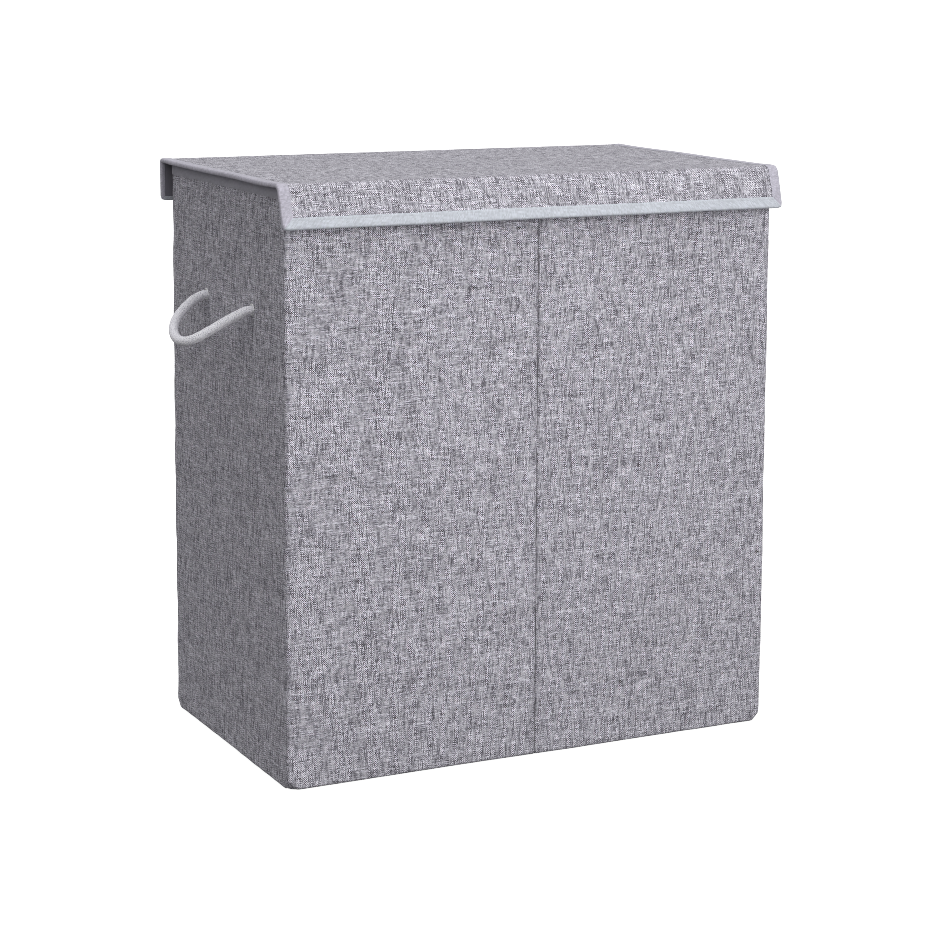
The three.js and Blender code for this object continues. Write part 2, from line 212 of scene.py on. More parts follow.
# ------------------------------------------------------------------ materials
class Mat:
    """A small helper that writes node materials."""

    def __init__(self, name):
        self.m = bpy.data.materials.new(name)
        self.m.use_nodes = True
        self.t = self.m.node_tree
        self.b = next(n for n in self.t.nodes if n.type == "BSDF_PRINCIPLED")

    def node(self, kind, **props):
        n = self.t.nodes.new(kind)
        for k, v in props.items():
            setattr(n, k, v)
        return n

    def put(self, socket, v):
        if isinstance(v, bpy.types.NodeSocket):
            self.t.links.new(v, socket)
        elif v is not None:
            socket.default_value = v

    def f(self, op, a, b=None, c=None, clamp=False):
        n = self.node("ShaderNodeMath", operation=op, use_clamp=clamp)
        for s, v in zip(n.inputs, (a, b, c)):
            self.put(s, v)
        return n.outputs[0]

    def mix(self, t, a, b):
        n = self.node("ShaderNodeMix", data_type="FLOAT")
        self.put(n.inputs[0], t), self.put(n.inputs[2], a), self.put(n.inputs[3], b)
        return n.outputs[0]

    def col(self, t, a, b, mode="MIX"):
        n = self.node("ShaderNodeMix", data_type="RGBA", blend_type=mode)
        self.put(n.inputs[0], t), self.put(n.inputs[6], a), self.put(n.inputs[7], b)
        return n.outputs[2]

    def xyz(self, x, y, z=0.0):
        n = self.node("ShaderNodeCombineXYZ")
        for s, v in zip(n.inputs, (x, y, z)):
            self.put(s, v)
        return n.outputs[0]

    def uv(self):
        n = self.node("ShaderNodeUVMap", uv_map="Weave")
        s = self.node("ShaderNodeSeparateXYZ")
        self.t.links.new(n.outputs[0], s.inputs[0])
        return s.outputs[0], s.outputs[1]

    def obj(self):
        n = self.node("ShaderNodeTexCoord")
        return n.outputs["Object"]

    def noise(self, vec, scale=1.0, detail=2.0, rough=0.5, dim="3D"):
        n = self.node("ShaderNodeTexNoise", noise_dimensions=dim)
        self.put(n.inputs["Vector"], vec)
        n.inputs["Scale"].default_value = scale
        n.inputs["Detail"].default_value = detail
        n.inputs["Roughness"].default_value = rough
        return n.outputs[0]

    def white(self, vec):
        n = self.node("ShaderNodeTexWhiteNoise", noise_dimensions="2D")
        self.put(n.inputs["Vector"], vec)
        return n.outputs[0]

    def remap(self, v, a, b, c=0.0, d=1.0):
        n = self.node("ShaderNodeMapRange", interpolation_type="LINEAR")
        n.clamp = True
        self.put(n.inputs[0], v)
        for s, x in zip(n.inputs[1:5], (a, b, c, d)):
            s.default_value = x
        return n.outputs[0]

    def ramp(self, t, stops):
        n = self.node("ShaderNodeValToRGB")
        el = n.color_ramp.elements
        while len(el) < len(stops):
            el.new(0.5)
        for e, (p, c) in zip(el, stops):
            e.position, e.color = p, (*c, 1)
        self.put(n.inputs[0], t)
        return n.outputs[0]

    def bump(self, height, distance, strength=1.0, normal=None):
        n = self.node("ShaderNodeBump")
        n.inputs["Strength"].default_value = strength
        n.inputs["Distance"].default_value = distance
        self.put(n.inputs["Height"], height)
        if normal is not None:
            self.put(n.inputs["Normal"], normal)
        return n.outputs[0]

    def done(self, color, rough, normal=None, metal=0.0, sheen=0.0, spec=0.3):
        self.put(self.b.inputs["Base Color"], color)
        self.put(self.b.inputs["Roughness"], rough)
        self.b.inputs["Metallic"].default_value = metal
        self.b.inputs["Specular IOR Level"].default_value = spec
        if sheen:
            self.b.inputs["Sheen Weight"].default_value = sheen
            self.b.inputs["Sheen Roughness"].default_value = 0.6
        if normal is not None:
            self.put(self.b.inputs["Normal"], normal)
        return self.m


def lin(r, g, b):
    c = [x / 255 for x in (r, g, b)]
    return tuple(x / 12.92 if x <= 0.04045 else ((x + 0.055) / 1.055) ** 2.4 for x in c)


def woven(k, pitch_u, pitch_v, wander=0.35, slow=0.11):
    """Plain weave: yarn numbers, places within them, height and which yarn is on top."""
    u, v = k.uv()
    x, y = k.f("DIVIDE", u, pitch_u), k.f("DIVIDE", v, pitch_v)
    vec = k.xyz(x, y)
    drift = k.noise(vec, slow, 1.0)
    drift2 = k.noise(k.xyz(y, x, 4.0), slow, 1.0)
    x = k.f("MULTIPLY_ADD", drift, 2 * wander, x)
    y = k.f("MULTIPLY_ADD", drift2, 2 * wander, y)
    i, j = k.f("FLOOR", x), k.f("FLOOR", y)
    fx, fy = k.f("SUBTRACT", x, i), k.f("SUBTRACT", y, j)
    over = k.f("FLOORED_MODULO", k.f("ADD", i, j), 2.0)
    sx = k.f("SINE", k.f("MULTIPLY", fx, math.pi))
    sy = k.f("SINE", k.f("MULTIPLY", fy, math.pi))
    warp = k.f("MULTIPLY", k.f("POWER", sx, 0.6), k.f("MULTIPLY_ADD", sy, 0.4, 0.6))
    weft = k.f("MULTIPLY", k.f("POWER", sy, 0.6), k.f("MULTIPLY_ADD", sx, 0.4, 0.6))
    h = k.mix(over, warp, weft)
    return x, y, i, j, over, h


def linen(name, pitch=0.00116):
    """Slubby plain weave: light warp over darker weft, each yarn uneven along its length."""
    k = Mat(name)
    x, y, i, j, over, h = woven(k, pitch, pitch, 0.50, 0.050)
    wn = k.noise(k.xyz(k.f("MULTIPLY", i, 3.17), k.f("MULTIPLY", y, 0.066), 0.0), 1.0, 1.0, 0.5)
    fn = k.noise(k.xyz(k.f("MULTIPLY", x, 0.075), k.f("MULTIPLY", j, 3.17), 9.3), 1.0, 1.0, 0.5)
    warp = k.remap(wn, 0.30, 0.70, 0.33, 0.98)
    weft = k.remap(fn, 0.30, 0.70, 0.11, 0.62)
    tone = k.mix(over, warp, weft)
    cell = k.white(k.xyz(i, j))
    tone = k.f("MULTIPLY_ADD", k.f("SUBTRACT", cell, 0.5), 0.36, tone)
    broad = k.noise(k.xyz(x, y, 2.0), 0.035, 2.0)
    tone = k.f("MULTIPLY_ADD", k.f("SUBTRACT", broad, 0.5), 0.06, tone, clamp=True)
    c = k.ramp(
        tone,
        [
            (0.08, lin(58, 55, 60)),
            (0.40, lin(131, 129, 138)),
            (0.62, lin(196, 195, 205)),
            (0.90, lin(246, 245, 253)),
        ],
    )
    warm = k.noise(k.xyz(k.f("MULTIPLY", i, 0.9), k.f("MULTIPLY", j, 0.9), 6.0), 0.5, 2.0)
    c = k.col(k.remap(warm, 0.46, 0.66), c, k.col(1.0, c, (1.026, 0.984, 1.0, 1.0), "MULTIPLY"))
    # painted shade: the weave is darker where the yarns dip, and darker again along the seams and at the wall's foot
    # by the cover's point attribute
    shade = k.f("MULTIPLY_ADD", h, 0.72, 0.41)
    seam_and_foot_shade = k.node("ShaderNodeAttribute", attribute_name="painted_shade")
    shade = k.f("MULTIPLY", shade, k.f("SUBTRACT", 1.0, seam_and_foot_shade.outputs["Fac"]))
    c = k.col(1.0, c, k.xyz(shade, shade, shade), "MULTIPLY")
    fuzz = k.noise(k.xyz(x, y, 5.0), 3.0, 2.0)
    height = k.f("MULTIPLY_ADD", fuzz, 0.25, h)
    n = k.bump(height, 0.00014, 0.6)
    return k.done(c, k.remap(fuzz, 0.3, 0.7, 0.82, 0.98), n, sheen=0.05, spec=0.15)


def plain(name, base, pitch=0.0005, var=0.06, depth=0.00008, rough=0.85, ribs=False, sheen=0.1, grain=0.0):
    """Fine plain cloth or tape with its own thread pattern."""
    k = Mat(name)
    x, y, i, j, over, h = woven(k, pitch, pitch * (1.8 if ribs else 1.0), 0.2)
    thread = k.noise(k.xyz(k.f("MULTIPLY", i, 2.3), k.f("MULTIPLY", y, 0.08), 0.0), 1.0, 2.0)
    broad = k.noise(k.xyz(x, y, 3.0), 0.02, 3.0)
    t = k.f("ADD", k.f("MULTIPLY", thread, 0.5), k.f("MULTIPLY", broad, 0.5))
    c = k.ramp(
        t,
        [(0.30, tuple(v * (1 - var * 2) for v in base)), (0.70, tuple(min(1, v * (1 + var)) for v in base))],
    )
    shade = k.f("MULTIPLY_ADD", h, 0.22, 0.82)
    if grain:
        g = 0.0013 / pitch
        spot = k.white(k.xyz(k.f("FLOOR", k.f("DIVIDE", x, g)), k.f("FLOOR", k.f("DIVIDE", y, g))))
        shade = k.f("MULTIPLY", shade, k.f("MULTIPLY_ADD", spot, grain, 1 - grain / 2))
    c = k.col(1.0, c, k.xyz(shade, shade, shade), "MULTIPLY")
    n = k.bump(k.f("MULTIPLY_ADD", broad, 1.5, h), depth, 0.7)
    return k.done(c, k.remap(thread, 0.3, 0.7, rough - 0.06, rough + 0.06), n, sheen=sheen)


def fibrous(name, dark, light, scale, depth, rough=0.9, stretch=(1, 1, 1)):
    """Board, felt or nap, on the object's own coordinates."""
    k = Mat(name)
    mp = k.node("ShaderNodeMapping")
    mp.inputs["Scale"].default_value = stretch
    k.put(mp.inputs["Vector"], k.obj())
    v = mp.outputs[0]
    a = k.noise(v, scale, 4.0, 0.65)
    b = k.noise(v, scale * 0.06, 2.0)
    t = k.f("ADD", k.f("MULTIPLY", a, 0.7), k.f("MULTIPLY", b, 0.3))
    c = k.ramp(t, [(0.32, dark), (0.68, light)])
    return k.done(c, k.remap(a, 0.3, 0.7, rough - 0.08, min(1.0, rough + 0.06)), k.bump(a, depth, 0.6))


def rope_mat(name):
    k = Mat(name)
    u, v = k.uv()  # u round the rope, v along it, metres
    a = k.f("MULTIPLY", k.f("ADD", k.f("MULTIPLY", v, 1.0), u), 2 * math.pi / 0.0030)
    b = k.f("MULTIPLY", k.f("SUBTRACT", v, u), 2 * math.pi / 0.0030)
    braid = k.f("MAXIMUM", k.f("SINE", a), k.f("SINE", b))
    spk = k.noise(k.xyz(u, v), 950, 2.0, 0.6)
    c = k.ramp(spk, [(0.34, lin(168, 166, 178)), (0.46, lin(236, 235, 244)), (0.60, lin(254, 253, 255))])
    # painted shade: the colour is darker in the grooves between the braid's strands
    braid_groove_shade = k.remap(braid, -0.4, 1.0, 0.88, 1.0)
    c = k.col(1.0, c, k.xyz(braid_groove_shade, braid_groove_shade, braid_groove_shade), "MULTIPLY")
    return k.done(c, k.remap(spk, 0.3, 0.7, 0.72, 0.86), k.bump(k.f("MULTIPLY_ADD", spk, 0.4, braid), 0.00016, 0.6), sheen=0.1)


def metal_mat(name):
    k = Mat(name)
    v = k.obj()
    a = k.noise(v, 900, 3.0)
    b = k.noise(v, 90, 2.0)
    c = k.ramp(b, [(0.3, (0.84, 0.84, 0.86)), (0.7, (0.95, 0.95, 0.96))])
    return k.done(c, k.remap(a, 0.3, 0.7, 0.20, 0.34), k.bump(a, 0.00003, 0.4), metal=0.75, spec=0.5)


M_LINEN = linen("linen_weave")
# the binding tape in two copies: a lighter lit copy for the hem and a darker shaded copy for the ends and the lid's
# sides, as painted light and shade
M_TAPE_LIT = plain("binding_tape", lin(190, 194, 202), 0.00080, 0.05, 0.00014, 0.80, ribs=True, grain=0.26)
M_TAPE_SHADED = plain("binding_tape_shaded_copy", lin(184, 181, 193), 0.00080, 0.08, 0.00014, 0.84, ribs=True, grain=0.30)
# painted shade: the rim tape is a darker copy of the binding tape, for the shade under the lid's edge
M_RIM_SHADED = plain("rim_tape", lin(170, 168, 178), 0.00080, 0.07, 0.00012, 0.88, ribs=True, grain=0.12)
M_LINING = plain("plain_lining", lin(128, 126, 135), 0.00060, 0.08, 0.00010, 0.88)
M_LINER = plain("liner_cloth", lin(224, 225, 230), 0.00045, 0.03, 0.00007, 0.82, sheen=0.15)
M_WEB = plain("webbing", lin(198, 199, 206), 0.0011, 0.06, 0.00030, 0.84, ribs=True)
M_THREAD = plain("stitch_thread", lin(196, 197, 205), 0.0003, 0.05, 0.00004, 0.75)
M_THREAD_LIGHT = plain("stitch_thread_light", lin(214, 215, 221), 0.0003, 0.05, 0.00004, 0.75)
M_BOARD = fibrous("grey_board", lin(150, 134, 108), lin(178, 162, 134), 700, 0.00008, 0.92, (1, 1, 0.35))
M_HOOK = fibrous("hook_and_loop", lin(74, 73, 79), lin(128, 127, 134), 1500, 0.0004, 0.95)
M_ROPE = rope_mat("cotton_rope")
M_METAL = metal_mat("bright_metal")


def dress(o, material):
    o.data.materials.clear()
    o.data.materials.append(material)
    return o


# ------------------------------------------------------------------ walls
ARC = CR * math.pi / 2
S1, S2 = CX, CX + ARC
S3, S4 = S2 + 2 * CY, S2 + 2 * CY + ARC
S_END = S4 + CX


def plan(s):
    """The right half of the wall's plan outline from front centre to back centre, with its outward normal."""
    s = np.asarray(s, float)
    x, y = np.zeros_like(s), np.zeros_like(s)
    nx, ny = np.zeros_like(s), np.zeros_like(s)
    a = s <= S1
    x[a], y[a], ny[a] = s[a], -HY, -1
    b = (s > S1) & (s <= S2)
    t = (s[b] - S1) / CR
    nx[b], ny[b] = np.sin(t), -np.cos(t)
    x[b], y[b] = CX + CR * nx[b], -CY + CR * ny[b]
    c = (s > S2) & (s <= S3)
    x[c], y[c], nx[c] = HX, -CY + (s[c] - S2), 1
    d = (s > S3) & (s <= S4)
    t = (s[d] - S3) / CR
    nx[d], ny[d] = np.cos(t), np.sin(t)
    x[d], y[d] = CX + CR * nx[d], CY + CR * ny[d]
    e = s > S4
    x[e], y[e], ny[e] = CX - (s[e] - S4), HY, 1
    return x, y, nx, ny


def wall(s, z, o, sx, slack=True, foot=True, cut_in=0.0):
    """Points of the wall at perimeter place s, height z and inward offset o."""
    S, Z = np.meshgrid(s, z, indexing="ij")
    O = np.zeros_like(S) + o
    if slack:
        d = 0.00055 * waves(S * (1.0 if sx > 0 else 1.07) + (0 if sx > 0 else 3), Z, 11 if sx > 0 else 12)
        d += 0.00016 * waves(S + 1, Z, 21, 9, 0.012, 0.04)
        edge = np.minimum.reduce([smooth01(S / 0.03), smooth01((S_END - S) / 0.03), smooth01((WALL_TOP - Z) / 0.05)])
        belly = 0.0007 * np.sin(np.pi * np.clip(Z / 0.62, 0, 1))
        O = O - (d + belly * 0.6) * edge
        # sewn seam at the centre folds
        for q in (S, S_END - S):
            O = O + 0.0012 * np.exp(-((q / 0.00100) ** 2)) - 0.00025 * bump_at(q, 0.0046, 0.0016)
            O = O + 0.00014 * np.sin(2 * np.pi * Z / 0.0110 + 3 * waves(q * 0, Z, 51, 4, 0.04, 0.1)) * np.exp(-((q / 0.0030) ** 2))
            O = O + 0.00025 * bump_at(q, 0.0078, 0.0012)
    if foot:
        R = 0.0030
        zz = np.clip(Z, 0, R)
        O = O + R - np.sqrt(np.maximum(R * R - (R - zz) ** 2, 0))
    x, y, nx, ny = plan(S)
    X, Y, ZP = x - nx * O, y - ny * O, Z.copy()
    if foot:
        # each lower corner is cut off flat, as the boards under the cloth are
        lack = 0.0122 + 1.6 * cut_in - ((HX - X) + (HY - np.abs(Y)) + ZP)
        push = 0.0004 * np.log1p(np.exp(np.clip(lack / 0.0012, -40, 40))) * 1.0
        X, Y, ZP = X - push, Y - np.sign(Y) * push, ZP + push
    return np.stack([sx * X * tx(ZP), Y * ty(ZP), ZP], 2), S, Z


zs_low = 0.0003 + 0.018 * (np.arange(15) / 14) ** 1.3
hole_s = [S2 + CY + y / ty(HANDLE_Z) for y in EYELET_Y.values()]
s_wall = np.concatenate(
    [
        [0.00015, 0.0007, 0.0013, 0.002, 0.003, 0.004, 0.0052, 0.0064, 0.0076, 0.009],
        spaced(0.012, S1 - 0.016, 0.0055),
        spaced(S1 - 0.0145, S1 - 0.001, 0.0014),
        np.linspace(S1, S2, 8),
        spaced(S2 + 0.001, S2 + 0.0145, 0.0014),
        spaced(S2 + 0.016, S3 - 0.016, 0.0055, hole_s, 0.0014, 0.0098),
        spaced(S3 - 0.0145, S3 - 0.001, 0.0014),
        np.linspace(S3, S4, 8),
        spaced(S4 + 0.001, S4 + 0.0145, 0.0014),
        spaced(S4 + 0.016, S_END - 0.012, 0.0055),
        S_END - np.array([0.009, 0.0076, 0.0064, 0.0052, 0.004, 0.003, 0.002, 0.0013, 0.0007, 0.00015]),
    ]
)
z_wall = np.concatenate([zs_low, spaced(0.0205, 0.647, 0.0055, [HANDLE_Z], 0.0014, 0.0098), [0.650, 0.6522, WALL_TOP]])

for sx, lr in ((-1, "left"), (1, "right")):
    P, S, Z = wall(s_wall, z_wall, 0.0, sx)
    N = normals(P)
    if np.mean(N[:, :, 0] * P[:, :, 0] + N[:, :, 1] * P[:, :, 1]) < 0:
        N = -N
    Q = P - N * 0.0010
    Q[:, :, 2] = np.maximum(Q[:, :, 2], 0.0002)
    # openings for the two eyelets
    sc, zc = 0.5 * (s_wall[:-1] + s_wall[1:]), 0.5 * (z_wall[:-1] + z_wall[1:])
    keep = np.ones((len(sc), len(zc)), bool)
    for y0 in EYELET_Y.values():
        YY, ZZ = P[:, :, 1], P[:, :, 2]
        onside = (S > S2) & (S < S3)
        r = np.hypot(YY - y0, ZZ - HANDLE_Z)
        inside = onside & (r < 0.0056)
        cell = inside[:-1, :-1] & inside[1:, :-1] & inside[1:, 1:] & inside[:-1, 1:]
        keep &= ~cell
        rim = np.zeros_like(inside)
        for a in (slice(0, -1), slice(1, None)):
            for b in (slice(0, -1), slice(1, None)):
                rim[a, b] |= cell
        whole = np.ones_like(inside)
        for a, ca in ((slice(0, -1), slice(0, None)), (slice(1, None), slice(0, None))):
            for b in (slice(0, -1), slice(1, None)):
                whole[a, b] &= cell
        rim &= ~whole & onside
        for G in (P, Q):
            v = G[:, :, 1:] - np.array([y0, HANDLE_Z])
            n = np.linalg.norm(v, axis=2, keepdims=True)
            moved = np.array([y0, HANDLE_Z]) + v / np.maximum(n, 1e-9) * 0.0058
            G[:, :, 1:] = np.where(rim[:, :, None], moved, G[:, :, 1:])
    UV = np.stack([S + (4.0 if sx > 0 else 1.0), Z + 1.0], 2)
    data = shell_data(P, Q, UV, keep.ravel())
    o = make(f"outer_cover_{lr}", *data)
    # painted shade: a point attribute darkens the weave along the front and back centre seams, broken up along their
    # height, and in the lowest few millimetres of the wall
    us, vs = data[2][:, 0] - (4.0 if sx > 0 else 1.0), data[2][:, 1] - 1.0
    patch = 0.75 + 0.45 * waves(us * 0, vs, 55, 8, 0.006, 0.05)
    tone = np.zeros(len(us))
    for q in (us, S_END - us):
        tone += np.clip(patch, 0.25, 1.2) * (0.22 * np.exp(-((q / 0.0013) ** 2)) + 0.11 * np.exp(-((q / 0.0044) ** 4)))
    tone += 0.16 * np.exp(-((vs / 0.004) ** 2))
    at = o.data.attributes.new("painted_shade", "FLOAT", "POINT")
    at.data.foreach_set("value", np.clip(tone, 0, 0.9).astype(np.float32))
    dress(o, M_LINEN)
    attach(o, "hamper_body")
    if sx < 0:
        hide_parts("cover_front_left", "cover_left", "cover_back_left")
    else:
        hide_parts("cover_front_right", "cover_right", "cover_back_right")

    # plain inner cloth, one sheet for each half
    sl = np.concatenate([spaced(0.0003, S1 - 0.002, 0.012), np.linspace(S1, S2, 7), spaced(S2 + 0.006, S3 - 0.006, 0.012), np.linspace(S3, S4, 7), spaced(S4 + 0.002, S_END - 0.0003, 0.012)])
    zl = np.concatenate([[0.0024, 0.006, 0.012, 0.018], spaced(0.030, WALL_TOP - 0.002, 0.014), [WALL_TOP - 0.0004]])
    P, S, Z = wall(sl, zl, 0.0042, sx, slack=False, foot=True, cut_in=0.0046)
    Q, _, _ = wall(sl, zl, 0.00489, sx, slack=False, foot=True, cut_in=0.0053)
    UV = np.stack([S + 2.0, Z + 1.0], 2)
    o = make(f"inner_cloth_{lr}", *shell_data(P, Q, UV))
    dress(o, M_LINING)
    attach(o, "hamper_body")
    if sx < 0:
        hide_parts("lining_left", "lining_front")
    else:
        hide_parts("lining_right", "lining_back")

    # folded tape over the wall's top edge
    prof = [(-0.00012, 0.6417), (-0.00070, 0.6424), (-0.00072, 0.6480), (-0.00068, 0.6525), (-0.0002, 0.6538), (0.0008, 0.65415),
            (0.0041, 0.65415), (0.0051, 0.6538), (0.0055, 0.6525), (0.00565, 0.6480), (0.0056, 0.6424), (0.0050, 0.6417)]
    inner = [(0.00002, 0.6418), (-0.00022, 0.6428), (-0.00022, 0.6480), (-0.00018, 0.6523), (0.0003, 0.6533), (0.0012, 0.65365),
             (0.0037, 0.65365), (0.0046, 0.6533), (0.0050, 0.6523), (0.00515, 0.6480), (0.0051, 0.6428), (0.0048, 0.6418)]
    sr = np.concatenate([[0.0002, 0.001, 0.003], spaced(0.008, S1 - 0.002, 0.008), np.linspace(S1, S2, 9), spaced(S2 + 0.004, S3 - 0.004, 0.008), np.linspace(S3, S4, 9), spaced(S4 + 0.002, S_END - 0.008, 0.008), [S_END - 0.003, S_END - 0.001, S_END - 0.0002]])

    def ring(profile, sink=0.0):
        x, y, nx, ny = plan(sr)
        G = np.zeros((len(sr), len(profile), 3))
        for q, (off, z) in enumerate(profile):
            wob = 0.00010 * np.sin(sr * 310 + q * 0.3) if 0 < q < 4 else 0.0
            G[:, q, 0] = sx * (x - nx * (off - wob)) * tx(z)
            G[:, q, 1] = (y - ny * (off - wob)) * ty(z)
            G[:, q, 2] = z
        return G

    P, Q = ring(prof), ring(inner)
    across = np.cumsum([0] + [math.dist(a, b) for a, b in zip(prof, prof[1:])])
    UV = np.stack(np.meshgrid(sr + 1, across + 1, indexing="ij"), 2)
    o = make(f"rim_tape_{lr}", *shell_data(P, Q, UV))
    dress(o, M_RIM_SHADED)
    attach(o, "hamper_body")
    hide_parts(f"rim_binding_{lr}")


def outline(hx, hy, r, n=8, cut=0.0):
    pts = []
    for sx, sy, a0 in ((1, 1, 0), (-1, 1, 1), (-1, -1, 2), (1, -1, 3)):
        for i in range(n + 1):
            a = math.pi / 2 * (a0 + i / n)
            pts.append((sx * (hx - r) + r * math.cos(a), sy * (hy - r) + r * math.sin(a)))
    return np.array(pts)


def plate(name, hx, hy, r, z0, z1, rings=14, edge=0.0006, wave=0.0):
    """A sheet with rounded corners, as rings that shrink to the middle."""
    base = outline(hx, hy, r)
    n = len(base)
    verts, uv, faces = [], [], []
    sc = [1.0] + [1 - (q / rings) for q in range(1, rings)]
    levels = []
    for side, z in ((1, z1), (-1, z0)):
        for q, c in enumerate(sc):
            inset = edge if q == 0 else 0.0
            p = base * np.array([(hx - inset) / hx, (hy - inset) / hy]) if q == 0 else base * c
            if q == 0:
                zz = np.full(n, z)
            else:
                zz = z + wave * waves(p[:, 0], p[:, 1], 31, 6, 0.05, 0.2)
            levels.append((p, zz))
    k = len(sc)
    order = list(range(k - 1, -1, -1))
    seq = [("top", q) for q in order] + [("mid", 0)] + [("bot", q) for q in range(k)]
    for kind, q in seq:
        if kind == "mid":
            p, zz = base, np.full(n, (z0 + z1) / 2)
        else:
            p, zz = levels[q if kind == "top" else k + q]
        for (a, b), c in zip(p, np.broadcast_to(zz, (n,))):
            verts.append((a, b, c)), uv.append((a + 1, b + 1))
    rows = len(seq)
    for rr in range(rows - 1):
        for i in range(n):
            a, b = rr * n + i, rr * n + (i + 1) % n
            faces.append((a, b, b + n, a + n))
    faces.append(tuple(range(n - 1, -1, -1)))
    faces.append(tuple((rows - 1) * n + i for i in range(n)))
    return make(name, np.array(verts), faces, np.array(uv))


o = plate("underside_cover", HX - 0.0032, HY - 0.0032, 0.0105, 0.0, 0.001)
dress(o, M_LINEN)
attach(o, "hamper_body")
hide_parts("cover_bottom")
o = plate("floor_cloth", 0.2972, 0.1712, 0.014, 0.0013, 0.0020)
dress(o, M_LINING)
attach(o, "hamper_body")
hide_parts("lining_bottom")

# ------------------------------------------------------------------ lid strip
# The lid, its front flap and its back flap are one long strip. A point of it
# has a place x, a length t from the front flap's hem, and a depth below the
# outer face; bend() wraps the strip over the two creases.
RF, RB = 0.0105, 0.0058
turn_f = math.pi / 2 - TILT
cut_f, cut_b = RF * math.tan(turn_f / 2), RB
LEN_F = FLAP - cut_f
LEN_TOP = (LID_BACK - LID_FRONT) - cut_f - cut_b
LEN_B = FLAP - cut_b
T1, T2 = LEN_F, LEN_F + RF * turn_f
T3, T4 = T2 + LEN_TOP, T2 + LEN_TOP + RB * math.pi / 2
T_ALL = T4 + LEN_B
T_SPLIT = T3 - 0.012


def bend(x, t, d, droop=True):
    """(x, t, depth) of the flat strip to its place on the hamper."""
    x, t, d = np.broadcast_arrays(np.asarray(x, float), np.asarray(t, float), np.asarray(d, float))
    y, z = np.zeros_like(t), np.zeros_like(t)
    ny, nz = np.zeros_like(t), np.zeros_like(t)
    fd = np.array([-math.sin(TILT), -math.cos(TILT)])
    fn = np.array([-math.cos(TILT), math.sin(TILT)])
    hem = np.array([LID_FRONT, LID_TOP]) + fd * FLAP
    a = t <= T1
    y[a], z[a] = hem[0] - fd[0] * t[a], hem[1] - fd[1] * t[a]
    ny[a], nz[a] = fn
    b = (t > T1) & (t <= T2)
    ang = (T2 - t[b]) / RF
    cy = LID_FRONT + cut_f
    y[b], z[b] = cy - RF * np.sin(ang), LID_TOP - RF + RF * np.cos(ang)
    ny[b], nz[b] = -np.sin(ang), np.cos(ang)
    c = (t > T2) & (t <= T3)
    y[c], z[c], nz[c] = cy + (t[c] - T2), LID_TOP, 1
    e = (t > T3) & (t <= T4)
    ang = (t[e] - T3) / RB
    y[e], z[e] = LID_BACK - RB + RB * np.sin(ang), LID_TOP - RB + RB * np.cos(ang)
    ny[e], nz[e] = np.sin(ang), np.cos(ang)
    f = t > T4
    y[f], z[f], ny[f] = LID_BACK, LID_TOP - RB - (t[f] - T4), 1
    u = (x - LID_X0) / (LID_X1 - LID_X0)
    lift = np.zeros_like(t)
    if droop:
        mid = smooth01((t - T2) / 0.03) * smooth01((T3 - t) / 0.03)
        lift = -0.0005 * mid * (1 + 0.7 * waves(x, t, 41, 6, 0.12, 0.5))
        flap = 1 - smooth01((t - 0.0) / T1)
        lift = lift + 0.0007 * flap * waves(x, t * 0 + 0.3, 43, 5, 0.16, 0.6)
        curl = np.exp(-(((1 - u) * 0.612) / 0.010) ** 2) * flap
        lift = lift - 0.0016 * curl
    y2 = y + ny * (lift - d)
    z2 = z + nz * (lift - d)
    return np.stack([x, y2, z2], -1)


def round_corner(x, t, r=0.0045):
    """Rounds the strip's four outer corners."""
    x, t = x.copy(), t.copy()
    for ex, ix in ((LID_X0, 1), (LID_X1, -1)):
        for et, it in ((0.0, 1), (T_ALL, -1)):
            a, b = (x - ex) * ix, (t - et) * it
            m = (a < r) & (b < r)
            va, vb = a[m] - r, b[m] - r
            big = np.maximum(np.abs(va), np.abs(vb))
            h = np.maximum(np.hypot(va, vb), 1e-12)
            x[m] = ex + ix * (r + va * big / h)
            t[m] = et + it * (r + vb * big / h)
    return x, t


def strip(name, t0, t1, d0, d1, mat, inset=0.0009, step=0.006, uo=6.0, band=0.00010):
    tt = np.unique(np.concatenate([spaced(max(t0, inset), min(t1, T_ALL - inset), step), np.linspace(T1, T2, 9), np.linspace(T3, T4, 10)]))
    tt = tt[(tt >= max(t0, inset) - 1e-9) & (tt <= min(t1, T_ALL - inset) + 1e-9)]
    tt = tt[np.concatenate([[True], np.diff(tt) > 2e-4])]
    xx = spaced(LID_X0 + inset, LID_X1 - inset, step)
    X, T = np.meshgrid(xx, tt, indexing="ij")
    X, T = round_corner(X, T)
    bumpy = band * waves(X, T, 47, 9, 0.012, 0.05)
    P, Q = bend(X, T, d0 - bumpy), bend(X, T, d1 - bumpy)
    o = make(name, *shell_data(P, Q, np.stack([X + uo, T + 1.0], 2)))
    return dress(o, mat)


o = strip("lid_cloth", 0.0, T_SPLIT - 0.00015, T_COVER, T_COVER_IN, M_LINEN, step=0.0055)
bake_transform(o)
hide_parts("lid_cover", "front_flap_cover")
o = strip("back_flap_cloth", T_SPLIT + 0.00015, T_ALL, T_COVER, T_COVER_IN, M_LINEN, step=0.0055)
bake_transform(o)
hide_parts("back_flap_cover")
o = strip("lid_inner_cloth", 0.0, T_SPLIT - 0.00015, T_LINING, T_LINING_IN, M_LINING, step=0.008)
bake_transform(o)
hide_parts("lid_lining", "front_flap_lining")
o = strip("back_flap_inner_cloth", T_SPLIT + 0.00015, T_ALL, T_LINING, T_LINING_IN, M_LINING, step=0.008)
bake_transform(o)
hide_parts("back_flap_lining")

for nm, ta, tb, body in (
    ("front_flap", 0.004, T1 - 0.0050, "front_flap"),
    ("lid", T2 + 0.0040, T3 - 0.0100, "lid"),
    ("back_flap", T4 + 0.0070, T_ALL - 0.004, "back_flap"),
):
    o = strip(f"{nm}_stiffener", ta, tb, 0.0018, 0.0038, M_BOARD, inset=0.006, step=0.012, band=0.0)
    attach(o, body)
    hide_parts(f"{nm}_board")

